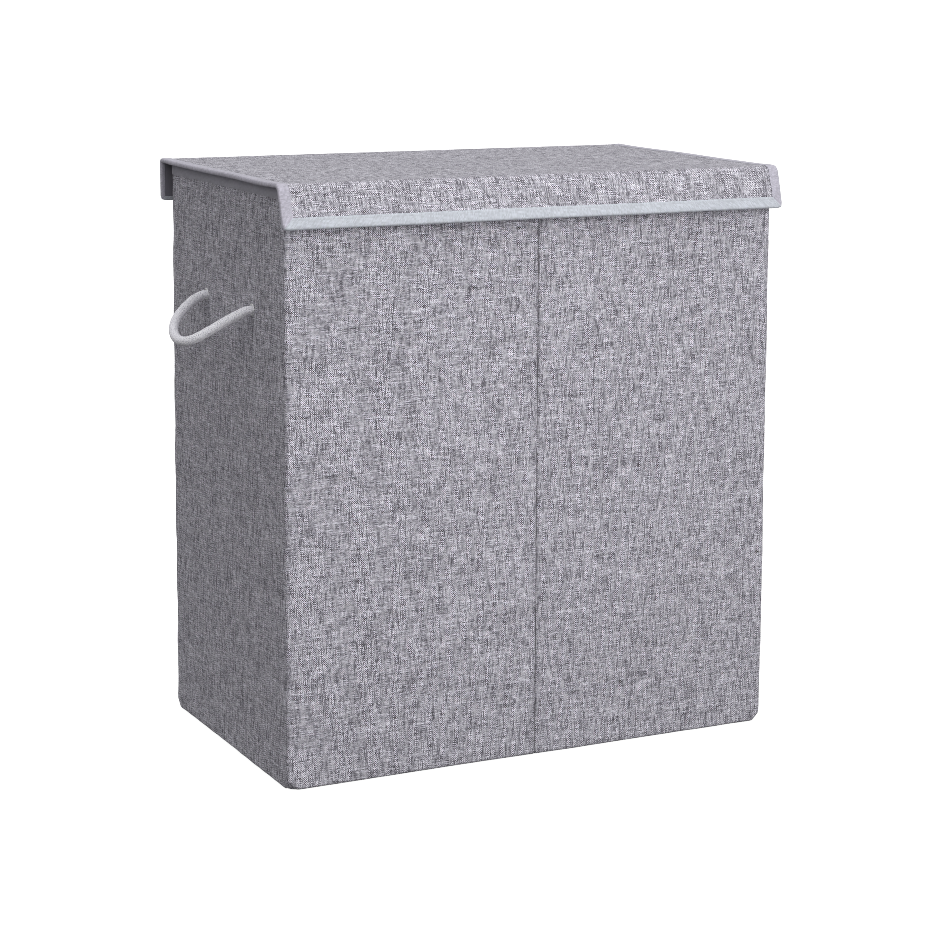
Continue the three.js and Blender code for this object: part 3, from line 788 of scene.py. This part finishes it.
# Binding: a folded tape round the strip's edge, mitred at the corners.
OUT = [(TAPE_W, 0.00042), (TAPE_W - 0.0006, 0.00022), (0.0098, 0.00020), (0.0090, 0.00022), (0.0060, 0.00006), (0.0030, 0.0),
       (0.0014, 0.00015), (0.0005, 0.0007), (0.00008, 0.0018), (0.0, T_END / 2)]
OUT = OUT + [(a, T_END - d) for a, d in OUT[-2::-1]]
INN = [(TAPE_W - 0.0001, 0.00070), (TAPE_W - 0.0006, 0.00070), (0.0098, 0.00070), (0.0090, 0.00070), (0.0060, 0.00056), (0.0032, 0.0005),
       (0.0019, 0.00065), (0.0010, 0.0011), (0.00060, 0.0020), (0.0005, T_END / 2)]
INN = INN + [(a, T_END - d) for a, d in INN[-2::-1]]


def narrow(section, w):
    """The same section with its inner leg only w wide."""
    h = len(section) // 2
    return section[: h + 1] + [(a if a < 0.0014 else 0.0014 + (a - 0.0014) * (w - 0.0014) / (TAPE_W - 0.0014), d) for a, d in section[h + 1 :]]


def edge_run(t_from, t_to):
    """Places along the binding: up to three straight runs with mitres between."""
    hem_front = t_from <= 0
    runs = []
    if hem_front:
        runs = [("L", t_to, 0.0), ("H", None, None), ("R", 0.0, t_to)]
    else:
        runs = [("L", t_from, T_ALL), ("H", None, None), ("R", T_ALL, t_from)]
    return runs


def binding(name, front):
    """front: the lid's sides and the front flap; otherwise the back flap."""
    t_open = T_SPLIT - 0.0002 if front else T_SPLIT + 0.0002
    t_hem, sg = (0.0, 1.0) if front else (T_ALL, -1.0)
    length = abs(t_open - t_hem)
    marks = [T1, T2, T3, T4]
    lens = spaced(0.0, length, 0.0055)
    extra = []
    for a, b in ((T1, T2), (T3, T4)):
        for q in np.linspace(a, b, 8):
            lq = (q - t_hem) * sg
            if 0.02 < lq < length:
                extra.append(lq)
    lens = np.unique(np.concatenate([lens, extra]))
    lens = lens[np.concatenate([[True], np.diff(lens) > 3e-4])]
    lens[-1] = length
    width = LID_X1 - LID_X0
    across = spaced(0.0, width, 0.006)

    def rows(section):
        a = np.array([p[0] for p in section])
        d = np.array([p[1] for p in section])
        out = []
        # left side: from the open end down to the hem's mitre
        k = (lens[::-1] / length)[:, None]
        fade = np.clip((k * length) / 0.030, 0, 1)
        real = np.where(k * length < 0.030, a + (0.030 - a) * fade, k * length)
        X = LID_X0 + a[None, :] + 0 * real
        T = t_hem + sg * real
        out.append((X, T, np.broadcast_to(d, X.shape)))
        kk = (across / width)[1:-1, None]
        X = LID_X0 + a[None, :] + (width - 2 * a[None, :]) * kk
        T = t_hem + sg * (a[None, :] + 0 * kk)
        out.append((X, T, np.broadcast_to(d, X.shape)))
        k = (lens / length)[:, None]
        fade = np.clip((k * length) / 0.030, 0, 1)
        real = np.where(k * length < 0.030, a + (0.030 - a) * fade, k * length)
        X = LID_X1 - a[None, :] + 0 * real
        T = t_hem + sg * real
        out.append((X, T, np.broadcast_to(d, X.shape)))
        X = np.vstack([q[0] for q in out])
        T = np.vstack([q[1] for q in out])
        D = np.vstack([q[2] for q in out]).copy()
        # a faint fold along each mitre
        for ex, ix in ((LID_X0, 1), (LID_X1, -1)):
            g = np.abs((X - ex) * ix - (T - t_hem) * sg)
            nearc = ((X - ex) * ix < 0.014) & ((T - t_hem) * sg < 0.014)
            dd = 0.00022 * np.exp(-((g / 0.0009) ** 2)) * nearc
            D += np.where(D < T_END / 2, dd, -dd)
        ripple = 0.00010 * np.sin(X * 510) * np.sin(T * 470 + 1)
        D += np.where(D < T_END / 2, ripple, -ripple)
        X, T = round_corner(X, T)
        return bend(X, T, D), X, T

    so, si = (OUT, INN) if front else (narrow(OUT, 0.0048), narrow(INN, 0.0048))
    P, X, T = rows(so)
    Q, _, _ = rows(si)
    along = np.concatenate([[0], np.cumsum(np.linalg.norm(np.diff(P[:, 9], axis=0), axis=1))])
    cross = np.concatenate([[0], np.cumsum([math.dist(p, q) for p, q in zip(OUT, OUT[1:])])])
    UV = np.stack(np.meshgrid(along + 1, cross + 1, indexing="ij"), 2)
    o = make(name, *shell_data(P, Q, UV), angle=50)
    dress(o, M_TAPE_LIT)
    o.data.materials.append(M_TAPE_SHADED)
    # painted light and shade: the ends and the lid's sides, up to the mitre, take the darker shaded copy of the tape,
    # and the hem keeps the lighter lit copy
    n1, m1 = P.shape[0] - 1, P.shape[1] - 1
    na, nh = len(lens), len(across) - 2
    row = np.repeat(np.arange(n1), m1)
    side_face = (row < na - 1) | (row >= na + nh)
    ids = np.zeros(len(o.data.polygons), np.int32)
    k = n1 * m1
    ids[:k] = side_face
    ids[k : 2 * k] = side_face
    o.data.polygons.foreach_set("material_index", ids)
    return o


def bead(fn, c, direction, half, w, h, base):
    """One stitch: a small rounded bead. fn maps (along, across, up) offsets to space."""
    verts, faces, uv = [], [], []
    rings = [(-1.0, 0.25), (-0.7, 0.8), (0.0, 1.0), (0.7, 0.8), (1.0, 0.25)]
    sides = 6
    for a, s in rings:
        for q in range(sides):
            an = 2 * math.pi * q / sides
            verts.append(fn(a * half, s * w * math.cos(an), base + s * h * math.sin(an) + 0.3 * h * (1 - a * a)))
            uv.append((1 + a * half, 1 + an * w))
    for r in range(len(rings) - 1):
        for q in range(sides):
            i, j = r * sides + q, r * sides + (q + 1) % sides
            faces.append([i, j, j + sides, i + sides])
    faces.append([sides - 1 - q for q in range(sides)])
    faces.append([(len(rings) - 1) * sides + q for q in range(sides)])
    return verts, faces, uv


def lid_stitches(name, front, both=True):
    t_open = T_SPLIT - 0.002 if front else T_SPLIT + 0.002
    t_hem, sg = (0.0, 1.0) if front else (T_ALL, -1.0)
    inset = TAPE_W - 0.0026
    pts = []
    pitch = 0.0036
    length = abs(t_open - t_hem)
    for k in range(int((length - inset) / pitch)):
        q = inset + (k + 0.5) * pitch
        pts.append((LID_X0 + inset, t_hem + sg * q, 0, 1))
        pts.append((LID_X1 - inset, t_hem + sg * q, 0, 1))
    both = both and front
    for k in range(int((LID_X1 - LID_X0 - 2 * inset) / pitch)):
        pts.append((LID_X0 + inset + (k + 0.5) * pitch, t_hem + sg * inset, 1, 0))
    parts = []
    for x, t, dx, dt in pts:
        for d0, s in ((0.00022, -1), (T_END - 0.00022, 1))[: 2 if both else 1]:
            flat = []
            v, f, u = bead(lambda a, b, c: (x + dx * a + dt * b, t + dt * a + dx * b, d0 + s * c), None, None, 0.00125, 0.00026, 0.00022, -0.00004)
            v = np.array(v)
            parts.append((bend(v[:, 0], v[:, 1], v[:, 2]), f, u))
    o = make(name, *join_data(parts), angle=180)
    return dress(o, M_THREAD)


o = binding("lid_binding_tape", True)
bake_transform(o)
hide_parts("lid_binding_left", "lid_binding_right", "front_flap_binding")
o = binding("back_flap_binding_tape", False)
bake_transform(o)
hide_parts("back_flap_binding")
o = lid_stitches("lid_stitching", True)
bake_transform(o)
o = lid_stitches("back_flap_stitching", False)
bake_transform(o)


# ------------------------------------------------------------------ hook-and-loop strips
def nap_strip(name, node, body, axis=1):
    """A flat strip with rounded edges and an uneven brushed face."""
    lo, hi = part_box(node)
    lo, hi = np.array(lo), np.array(hi)
    u = spaced(lo[0], hi[0], 0.0022)
    v = spaced(lo[2], hi[2], 0.0022)
    U, V = np.meshgrid(u, v, indexing="ij")
    edge = np.minimum.reduce([U - lo[0], hi[0] - U, V - lo[2], hi[2] - V])
    e = np.sqrt(np.clip(edge / 0.0009, 0, 1))
    mid, half = (lo[1] + hi[1]) / 2, (hi[1] - lo[1]) / 2
    r = np.random.RandomState(len(name))
    front = half * (0.45 + 0.55 * e) * (0.86 + 0.14 * r.rand(*U.shape))
    back = half * (0.45 + 0.55 * e)
    P = np.stack([U, mid - front, V], 2)
    Q = np.stack([U, mid + back, V], 2)
    o = make(name, *shell_data(P, Q, np.stack([U + 1, V + 1], 2)), angle=60)
    dress(o, M_HOOK)
    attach(o, body)
    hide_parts(node)


for lr in ("left", "right"):
    nap_strip(f"loop_tape_{lr}", f"wall_loop_strip_{lr}", "hamper_body")
    nap_strip(f"hook_tape_{lr}", f"flap_hook_strip_{lr}", "back_flap")
    for fb in ("front", "back"):
        nap_strip(f"bag_fastener_{fb}_{lr}", f"liner_hook_strip_{fb}_{lr}", "hamper_body")


# ------------------------------------------------------------------ rope, eyelets, knots
def catmull(pts, step=0.0011):
    pts = np.array(pts, float)
    p = np.vstack([2 * pts[0] - pts[1], pts, 2 * pts[-1] - pts[-2]])
    out = []
    for k in range(1, len(p) - 2):
        a, b, c, d = p[k - 1 : k + 3]
        n = max(2, int(np.linalg.norm(c - b) / step))
        t0, t1 = 0.0, np.linalg.norm(b - a) ** 0.5
        t2 = t1 + np.linalg.norm(c - b) ** 0.5
        t3 = t2 + np.linalg.norm(d - c) ** 0.5
        for i in range(n):
            t = t1 + (t2 - t1) * i / n
            A1 = (t1 - t) / (t1 - t0) * a + (t - t0) / (t1 - t0) * b
            A2 = (t2 - t) / (t2 - t1) * b + (t - t1) / (t2 - t1) * c
            A3 = (t3 - t) / (t3 - t2) * c + (t - t2) / (t3 - t2) * d
            B1 = (t2 - t) / (t2 - t0) * A1 + (t - t0) / (t2 - t0) * A2
            B2 = (t3 - t) / (t3 - t1) * A2 + (t - t1) / (t3 - t1) * A3
            out.append((t2 - t) / (t2 - t1) * B1 + (t - t1) / (t2 - t1) * B2)
    out.append(pts[-1])
    return np.array(out)


def tube(name, path, radius, mat, sides=24, closed=False, strand=0.0, pitch=0.020, swell=0.0):
    p = np.array(path, float)
    n = len(p)
    if closed:
        tan = np.roll(p, -1, 0) - np.roll(p, 1, 0)
    else:
        tan = np.gradient(p, axis=0)
    tan /= np.linalg.norm(tan, axis=1, keepdims=True)
    up = np.cross(tan[0], [0.3, 0.2, 0.9])
    up /= np.linalg.norm(up)
    ups = [up]
    for k in range(1, n):
        v = ups[-1] - tan[k] * np.dot(ups[-1], tan[k])
        ups.append(v / np.linalg.norm(v))
    ups = np.array(ups)
    side = np.cross(tan, ups)
    along = np.concatenate([[0], np.cumsum(np.linalg.norm(np.diff(p, axis=0), axis=1))])
    an = 2 * math.pi * np.arange(sides) / sides
    A, L = np.meshgrid(an, along)
    twist = 0.0
    if closed:  # spread the leftover turn, so that the ends meet
        end = ups[-1] - tan[0] * np.dot(ups[-1], tan[0])
        end /= np.linalg.norm(end)
        twist = -math.atan2(np.dot(end, side[0]), np.dot(end, ups[0]))
    A2 = A + twist * (L / along[-1])
    if swell:
        R0 = radius + swell * smooth01((np.minimum(L, along[-1] - L) - 0.018) / 0.016)
    else:
        R0 = radius
    R = R0 * (1 + strand * (np.maximum(np.cos(4 * A2 + 2 * math.pi * L / pitch), np.cos(4 * A2 - 2 * math.pi * L / pitch)) - 0.6))
    if not closed:
        cap = np.clip(np.minimum(L, along[-1] - L) / (radius * 0.8), 0, 1)
        R = R * np.sqrt(1 - (1 - cap) ** 2 * 0.85)
    P = p[:, None, :] + R[:, :, None] * (np.cos(A2)[:, :, None] * ups[:, None, :] + np.sin(A2)[:, :, None] * side[:, None, :])
    verts = P.reshape(-1, 3)
    faces = []
    rows = n if closed else n - 1
    for r in range(rows):
        r2 = (r + 1) % n
        for q in range(sides):
            q2 = (q + 1) % sides
            faces.append([r * sides + q, r * sides + q2, r2 * sides + q2, r2 * sides + q])
    if not closed:
        faces.append([sides - 1 - q for q in range(sides)])
        faces.append([(n - 1) * sides + q for q in range(sides)])
    uv = np.stack([1 + A * radius, 1 + L], 2).reshape(-1, 2)
    o = make(name, verts, faces, uv, angle=180)
    return dress(o, mat)


LOOP = [(a * 0.963, b) for a, b in [(9, 63.5), (21, 63.5), (33, 59.5), (45, 49.5), (56, 33), (64, 12), (67.5, -10), (65, -29), (56, -42), (43, -51.5), (29, -60), (14, -70)]]


def lathe(name, profile, centre, sx, mat, seg=48):
    prof = np.array(profile)
    an = 2 * math.pi * np.arange(seg) / seg
    verts, faces, uv = [], [], []
    n = len(prof)
    for a in an:
        for ax, r in prof:
            verts.append((sx * ax, centre[0] + r * math.cos(a), centre[1] + r * math.sin(a)))
            uv.append((1 + a * 0.008, 1 + r + ax))
    for s in range(seg):
        s2 = (s + 1) % seg
        for q in range(n):
            q2 = (q + 1) % n
            faces.append([s * n + q, s * n + q2, s2 * n + q2, s2 * n + q])
    o = make(name, np.array(verts), faces, np.array(uv), angle=35)
    return dress(o, mat)


WX = HX * tx(HANDLE_Z)
for sx, lr in ((-1, "left"), (1, "right")):
    stub = [0.2825, 0.2885, 0.2945, 0.3000, 0.3042]
    pts = [(sx * x, EYELET_Y["rear"], HANDLE_Z) for x in stub]
    for s, t in LOOP:
        s, t = s * MM, t * MM
        pts.append((sx * (PIVOT_X + s * math.sin(SWING)), t, HANDLE_Z - s * math.cos(SWING)))
    pts += [(sx * x, EYELET_Y["front"], HANDLE_Z) for x in stub[::-1]]
    path = catmull(pts)
    o = tube(f"rope_{lr}", path, ROPE_R, M_ROPE, strand=0.030, pitch=0.012, swell=0.0008)
    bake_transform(o)
    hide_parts(f"rope_handle_{lr}")
    for fr, y in EYELET_Y.items():
        # pressed metal ring through the wall
        xo, xi = WX + 0.0002, (HX - 0.0049) * tx(HANDLE_Z) - 0.0002
        prof = [(xi - 0.0008, 0.0050), (xi - 0.0009, 0.0058), (xi - 0.0006, 0.0067), (xi, 0.0070), (xi + 0.0001, 0.0060), (xi + 0.0002, 0.0055),
                (xo - 0.0002, 0.0055), (xo - 0.0001, 0.0060), (xo, 0.0070), (xo + 0.0005, 0.0069), (xo + 0.0009, 0.0062), (xo + 0.0010, 0.0055),
                (xo + 0.0008, 0.0049), (xo + 0.0003, 0.0047), (xo - 0.001, 0.00465), (xi + 0.001, 0.00465), (xi - 0.0003, 0.0047)]
        o = lathe(f"eyelet_ring_{lr}_{fr}", prof, (y, HANDLE_Z), sx, M_METAL)
        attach(o, "hamper_body")
        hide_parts(f"eyelet_{lr}_{fr}")
        # stopper knot inside the wall
        kx = 0.2860
        a = np.linspace(0, 2 * math.pi, 150, endpoint=False)
        tref = np.stack(
            [
                sx * (kx + 0.0028 * np.sin(3 * a)),
                y + 0.00255 * (1.75 + np.cos(3 * a)) * np.cos(2 * a),
                HANDLE_Z + 0.00255 * (1.75 + np.cos(3 * a)) * np.sin(2 * a),
            ],
            1,
        )
        o = tube(f"stopper_knot_{lr}_{fr}", tref, 0.0036, M_ROPE, sides=16, closed=True, strand=0.03, pitch=0.012)
        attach(o, "hamper_body")
        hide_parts(f"knot_{lr}_{fr}")


# ------------------------------------------------------------------ liner bags
def bag(lr, sx):
    zb, zt = 0.0057, 0.6518
    x_in, y_out = 0.0007, 0.1698
    rc = 0.009
    # open outline that starts and ends at the inner back corner, at the bag's sewn seam
    def edge_x(z):
        return 0.2758 + (0.2964 - 0.2758) * smooth01((z - 0.560) / 0.046)

    rows = np.concatenate([[zb, zb + 0.002, zb + 0.006, 0.016], spaced(0.024, 0.628, 0.0085), [0.6305, 0.6318, 0.6330, 0.6345, 0.641, 0.647, 0.6505, zt]])
    parts = []
    seg = []
    npx, npy, arc = 34, 42, 6
    for side in range(4):
        seg.append(side)
    G, H, UVg = [], [], []
    for z in rows:
        xo = edge_x(z)
        line = []
        # corner centres: inner corners are small
        for a, b, n in (
            ((x_in, y_out), (xo - rc, y_out), npx),
            ((xo, y_out - rc), (xo, -y_out + rc), npy),
            ((xo - rc, -y_out), (x_in, -y_out), npx),
            ((x_in, -y_out), (x_in, y_out), npy),
        ):
            for k in range(n + 1):
                f = k / n
                line.append((a[0] + (b[0] - a[0]) * f, a[1] + (b[1] - a[1]) * f))
            if (a, b) == ((x_in, y_out), (xo - rc, y_out)):
                for k in range(1, arc):
                    q = math.pi / 2 * (1 - k / arc)
                    line.append((xo - rc + rc * math.cos(q), y_out - rc + rc * math.sin(q)))
            if (a, b) == ((xo, y_out - rc), (xo, -y_out + rc)):
                for k in range(1, arc):
                    q = -math.pi / 2 * (k / arc)
                    line.append((xo - rc + rc * math.cos(q), -y_out + rc + rc * math.sin(q)))
        line = np.array(line)
        keepm = np.concatenate([[True], np.linalg.norm(np.diff(line, axis=0), axis=1) > 1e-6])
        line = line[keepm]
        line[-1] = line[0] + np.array([0.0, -0.0004])
        G.append(line)
    G = np.array(G)  # rows, places, 2
    G = np.transpose(G, (1, 0, 2))
    n, m, _ = G.shape
    per = np.concatenate([[0], np.cumsum(np.linalg.norm(np.diff(G[:, 0], axis=0), axis=1))])
    S, Z = np.meshgrid(per, rows, indexing="ij")
    c = np.array([0.15, 0.0])
    # inward slack: long soft folds that fade at the hem, the foot and the corners
    amp = smooth01((0.622 - Z) / 0.10) * smooth01((Z - 0.012) / 0.07)
    dx = np.minimum(G[:, :, 0] - x_in, edge_x(Z) - G[:, :, 0])
    dy = y_out - np.abs(G[:, :, 1])
    # behind the straps, on the front and back, the cloth hangs flat down to below them
    amp = np.where(dy < dx, smooth01((0.505 - Z) / 0.12) * smooth01((Z - 0.012) / 0.07), amp)
    corner = smooth01((np.maximum(dx, dy)) / 0.05)
    folds = 0.5 + 0.5 * waves(S * 1.0, Z * 0.30, 61 if sx > 0 else 62, 6, 0.05, 0.15)
    creases = np.abs(waves(S, Z * 0.8, 63 if sx > 0 else 64, 6, 0.09, 0.26))
    inward = amp * corner * (0.0065 * folds + 0.0030 * (1 - creases)) + 0.0006 * amp
    tang = np.gradient(G, axis=0)
    tang /= np.maximum(np.linalg.norm(tang, axis=2, keepdims=True), 1e-9)
    nrm = np.stack([-tang[:, :, 1], tang[:, :, 0]], 2)
    toc = c - G
    sgn = np.sign(np.sum(nrm * toc, 2, keepdims=True))
    inn = nrm * sgn
    hem = np.where((Z > 0.6325), 0.0, 0.00035) * smooth01((Z - 0.60) / 0.02)
    ripple = 0.00025 * np.sin(S * 260) * smooth01((Z - 0.60) / 0.03)
    pos = G + inn * (inward + hem + np.maximum(ripple, 0))[:, :, None]
    thick = 0.0009 + np.where(Z > 0.632, 0.0006, 0.0)
    pin = pos + inn * thick[:, :, None]

    def world(p):
        return np.stack([sx * p[:, :, 0] * tx(Z), p[:, :, 1] * ty(Z), Z], 2)

    parts.append(shell_data(world(pos), world(pin), np.stack([S + 1, Z + 1], 2)))
    # the bag's flat bottom
    bx = np.linspace(x_in + 0.0016, 0.2758 - 0.0016, 24)
    by = np.linspace(-y_out + 0.0016, y_out - 0.0016, 30)
    X, Y = np.meshgrid(bx, by, indexing="ij")
    w = 0.0009 * (0.5 + 0.5 * waves(X, Y, 65, 6, 0.05, 0.15)) * smooth01(np.minimum.reduce([X - bx[0], bx[-1] - X, Y - by[0], by[-1] - Y]) / 0.03)
    P = np.stack([sx * X, Y, zb + 0.001 + w], 2)
    Q = np.stack([sx * X, Y, zb + 0 * X], 2)
    parts.append(shell_data(P, Q, np.stack([X + 1, Y + 1], 2)))
    fixed = []
    for v, f, u in parts:  # each sheet faces out by itself before they join
        q = np.array([g for g in f if len(g) == 4])
        a, b, c3, d = (v[q[:, k]] for k in range(4))
        if np.sum(a * np.cross(b, c3)) + np.sum(a * np.cross(c3, d)) < 0:
            f = [g[::-1] for g in f]
        fixed.append((v, f, u))
    o = make(f"cloth_bag_{lr}", *join_data(fixed), angle=60)
    dress(o, M_LINER)
    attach(o, "hamper_body")
    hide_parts(f"liner_bag_{lr}")

    # hem stitches round the mouth, on the inside
    st = []
    row = int(np.argmin(np.abs(rows - 0.6345)))
    ring_in = world(pin)[:, row]
    dirs = inn[:, row]
    ln = np.concatenate([[0], np.cumsum(np.linalg.norm(np.diff(ring_in, axis=0), axis=1))])
    for q in np.arange(0.003, ln[-1] - 0.003, 0.0042):
        px = np.array([np.interp(q, ln, ring_in[:, a]) for a in range(3)])
        qx = np.array([np.interp(q + 0.001, ln, ring_in[:, a]) for a in range(3)])
        tg = (qx - px) / max(np.linalg.norm(qx - px), 1e-9)
        k = int(np.searchsorted(ln, q))
        dn = np.array([sx * dirs[min(k, n - 1), 0], dirs[min(k, n - 1), 1], 0])
        up = np.array([0, 0, 1.0])
        st.append(bead(lambda a, b, cc: tuple(px + tg * a + up * b + dn * cc), None, None, 0.0014, 0.00028, 0.00025, 0.0))
    o = make(f"bag_hem_stitching_{lr}", *join_data(st), angle=180)
    dress(o, M_THREAD_LIGHT)
    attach(o, "hamper_body")


for sx, lr in ((-1, "left"), (1, "right")):
    bag(lr, sx)


# ------------------------------------------------------------------ webbing straps
def strap(fb, lr):
    node = f"liner_strap_{fb}_{lr}"
    lo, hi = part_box(node)
    cx, cy, zt = (lo.x + hi.x) / 2, (lo.y + hi.y) / 2, hi.z
    w, wd, drop, r = (hi.x - lo.x) / 2, 0.025, hi.z - lo.z, 0.040
    a = w - wd / 2  # centreline half span
    b = drop - wd / 2
    rr = r - wd / 2 + 0.004
    line = [(-a, z) for z in np.linspace(0, -(b - rr), 12)]
    line += [(-a + rr - rr * math.cos(t), -(b - rr) - rr * math.sin(t)) for t in np.linspace(0, math.pi / 2, 12)[1:]]
    line += [(x, -b) for x in np.linspace(-a + rr, a - rr, 16)[1:]]
    line += [(a - rr + rr * math.sin(t), -(b - rr) - rr * math.cos(t)) for t in np.linspace(0, math.pi / 2, 12)[1:]]
    line += [(a, z) for z in np.linspace(-(b - rr), 0, 12)[1:]]
    line = np.array(line)
    tan = np.gradient(line, axis=0)
    tan /= np.linalg.norm(tan, axis=1, keepdims=True)
    nor = np.stack([-tan[:, 1], tan[:, 0]], 1)
    L = np.concatenate([[0], np.cumsum(np.linalg.norm(np.diff(line, axis=0), axis=1))])
    q = np.linspace(-wd / 2, wd / 2, 13)
    half = 0.00070 * np.sqrt(np.clip(1 - (np.abs(q) / (wd / 2)) ** 8, 0.02, 1))
    X = cx + line[:, None, 0] + nor[:, None, 0] * q
    Zp = zt + line[:, None, 1] + nor[:, None, 1] * q
    Zp = np.clip(Zp, lo.z, hi.z)
    bow = 0.0000 + 0 * X
    P = np.stack([X, cy + bow - half, Zp], 2)
    Q = np.stack([X, cy + bow + half, Zp], 2)
    UV = np.stack(np.meshgrid(L + 1, q + 1, indexing="ij"), 2)
    o = make(f"webbing_strap_{fb}_{lr}", *shell_data(P, Q, UV), angle=60)
    dress(o, M_WEB)
    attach(o, f"strap_{fb}_{lr}")
    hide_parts(node)


for lr in ("left", "right"):
    for fb in ("front", "back"):
        strap(fb, lr)

# ------------------------------------------------------------------ carried-over CAD boards
for n in NODES:
    if "board" in n:
        NODES[n].data.materials.clear()
        NODES[n].data.materials.append(M_BOARD)

# ------------------------------------------------------------------ stage, light, camera
def disc(name, r, seg=96):
    v = [(0, 0, 0)] + [(r * math.cos(2 * math.pi * i / seg), r * math.sin(2 * math.pi * i / seg), 0) for i in range(seg)]
    me = bpy.data.meshes.new(name)
    me.from_pydata(v, [], [(0, i + 1, (i + 1) % seg + 1) for i in range(seg)])
    o = bpy.data.objects.new(name, me)
    bpy.context.scene.collection.objects.link(o)
    return o


floor = disc("floor", 60.0)
floor.location.z = -0.0003
fm = bpy.data.materials.new("pale_floor")
fm.use_nodes = True
fb_ = next(n for n in fm.node_tree.nodes if n.type == "BSDF_PRINCIPLED")
fb_.inputs["Base Color"].default_value = (0.30, 0.30, 0.30, 1)
fb_.inputs["Roughness"].default_value = 1.0
fb_.inputs["Specular IOR Level"].default_value = 0.0
fb_.inputs["Emission Color"].default_value = (1, 1, 1, 1)
fb_.inputs["Emission Strength"].default_value = 0.86
floor.data.materials.append(fm)
floor.visible_diffuse = False
floor.visible_glossy = False


def backdrop_wall(name, r, z0, z1, seg=96):
    """A round wall far behind the object, as an open ring of quads; the caller makes it glow white and seen only by
    the camera.
    """
    ring = [(r * math.cos(2 * math.pi * i / seg), r * math.sin(2 * math.pi * i / seg)) for i in range(seg)]
    me = bpy.data.meshes.new(name)
    me.from_pydata(
        [(a, b, z0) for a, b in ring] + [(a, b, z1) for a, b in ring],
        [],
        [(i, (i + 1) % seg, seg + (i + 1) % seg, seg + i) for i in range(seg)],
    )
    o = bpy.data.objects.new(name, me)
    bpy.context.scene.collection.objects.link(o)
    return o


wall_paper = backdrop_wall("backdrop", 59.0, -0.5, 45.0)
wm = bpy.data.materials.new("white_paper")
wm.use_nodes = True
wb = next(n for n in wm.node_tree.nodes if n.type == "BSDF_PRINCIPLED")
wb.inputs["Base Color"].default_value = (0.0, 0.0, 0.0, 1)
wb.inputs["Roughness"].default_value = 1.0
wb.inputs["Specular IOR Level"].default_value = 0.0
wb.inputs["Emission Color"].default_value = (1, 1, 1, 1)
wb.inputs["Emission Strength"].default_value = 1.0
wall_paper.data.materials.append(wm)
for flag in ("visible_diffuse", "visible_glossy", "visible_transmission", "visible_shadow"):
    setattr(wall_paper, flag, False)

scene = bpy.context.scene
scene.view_settings.view_transform = "Standard"
scene.view_settings.look = "None"
scene.cycles.filter_width = 0.9
scene.cycles.use_denoising = True
scene.cycles.denoising_prefilter = "NONE"
world = bpy.data.worlds.new("studio")
scene.world = world
world.use_nodes = True
wt = world.node_tree
bg = next(n for n in wt.nodes if n.type == "BACKGROUND")
tc = wt.nodes.new("ShaderNodeTexCoord")
sp = wt.nodes.new("ShaderNodeSeparateXYZ")
half = wt.nodes.new("ShaderNodeMath")
half.operation = "MULTIPLY_ADD"
half.inputs[1].default_value, half.inputs[2].default_value = 0.5, 0.5
sky = wt.nodes.new("ShaderNodeValToRGB")
el = sky.color_ramp.elements
el.new(0.5)
for e, (p, v) in zip(el, ((0.425, 0.12), (0.675, 0.765), (1.0, 1.15))):
    e.position, e.color = p, (v, v, v * 1.005, 1)
wt.links.new(tc.outputs["Generated"], sp.inputs[0])
wt.links.new(sp.outputs[2], half.inputs[0])
wt.links.new(half.outputs[0], sky.inputs[0])
wt.links.new(sky.outputs[0], bg.inputs["Color"])
bg.inputs["Strength"].default_value = 1.0


def area(name, loc, target, size, power):
    li = bpy.data.lights.new(name, "AREA")
    li.shape, li.size, li.energy = "SQUARE", size, power
    o = bpy.data.objects.new(name, li)
    bpy.context.scene.collection.objects.link(o)
    o.location = loc
    o.rotation_mode = "QUATERNION"
    o.rotation_quaternion = (Vector(target) - Vector(loc)).to_track_quat("-Z", "Y")
    return o


area("key_softbox", (0.06, -1.50, 0.80), (-0.02, -0.18, 0.62), 0.9, 13.6)

C = Vector((-1.2675, -2.5654, 0.8891))
yaw, pitch, roll = -0.4619, 0.2040, 0.0054
fwd = Vector((-math.sin(yaw) * math.cos(pitch), math.cos(yaw) * math.cos(pitch), -math.sin(pitch)))
right = Vector((math.cos(yaw), math.sin(yaw), 0))
up = right.cross(fwd)
r2 = math.cos(roll) * right + math.sin(roll) * up
u2 = -math.sin(roll) * right + math.cos(roll) * up
cam_data = bpy.data.cameras.new("camera")
cam = bpy.data.objects.new("camera", cam_data)
scene.collection.objects.link(cam)
cam_data.sensor_width = 36.0
cam_data.lens = 94.92
cam_data.shift_x, cam_data.shift_y = -0.00523, 0.00064
cam_data.clip_start, cam_data.clip_end = 0.05, 200
cam.matrix_world = Matrix(
    ((r2.x, u2.x, -fwd.x, C.x), (r2.y, u2.y, -fwd.y, C.y), (r2.z, u2.z, -fwd.z, C.z), (0, 0, 0, 1))
)
scene.camera = cam

bpy.context.view_layer.update()
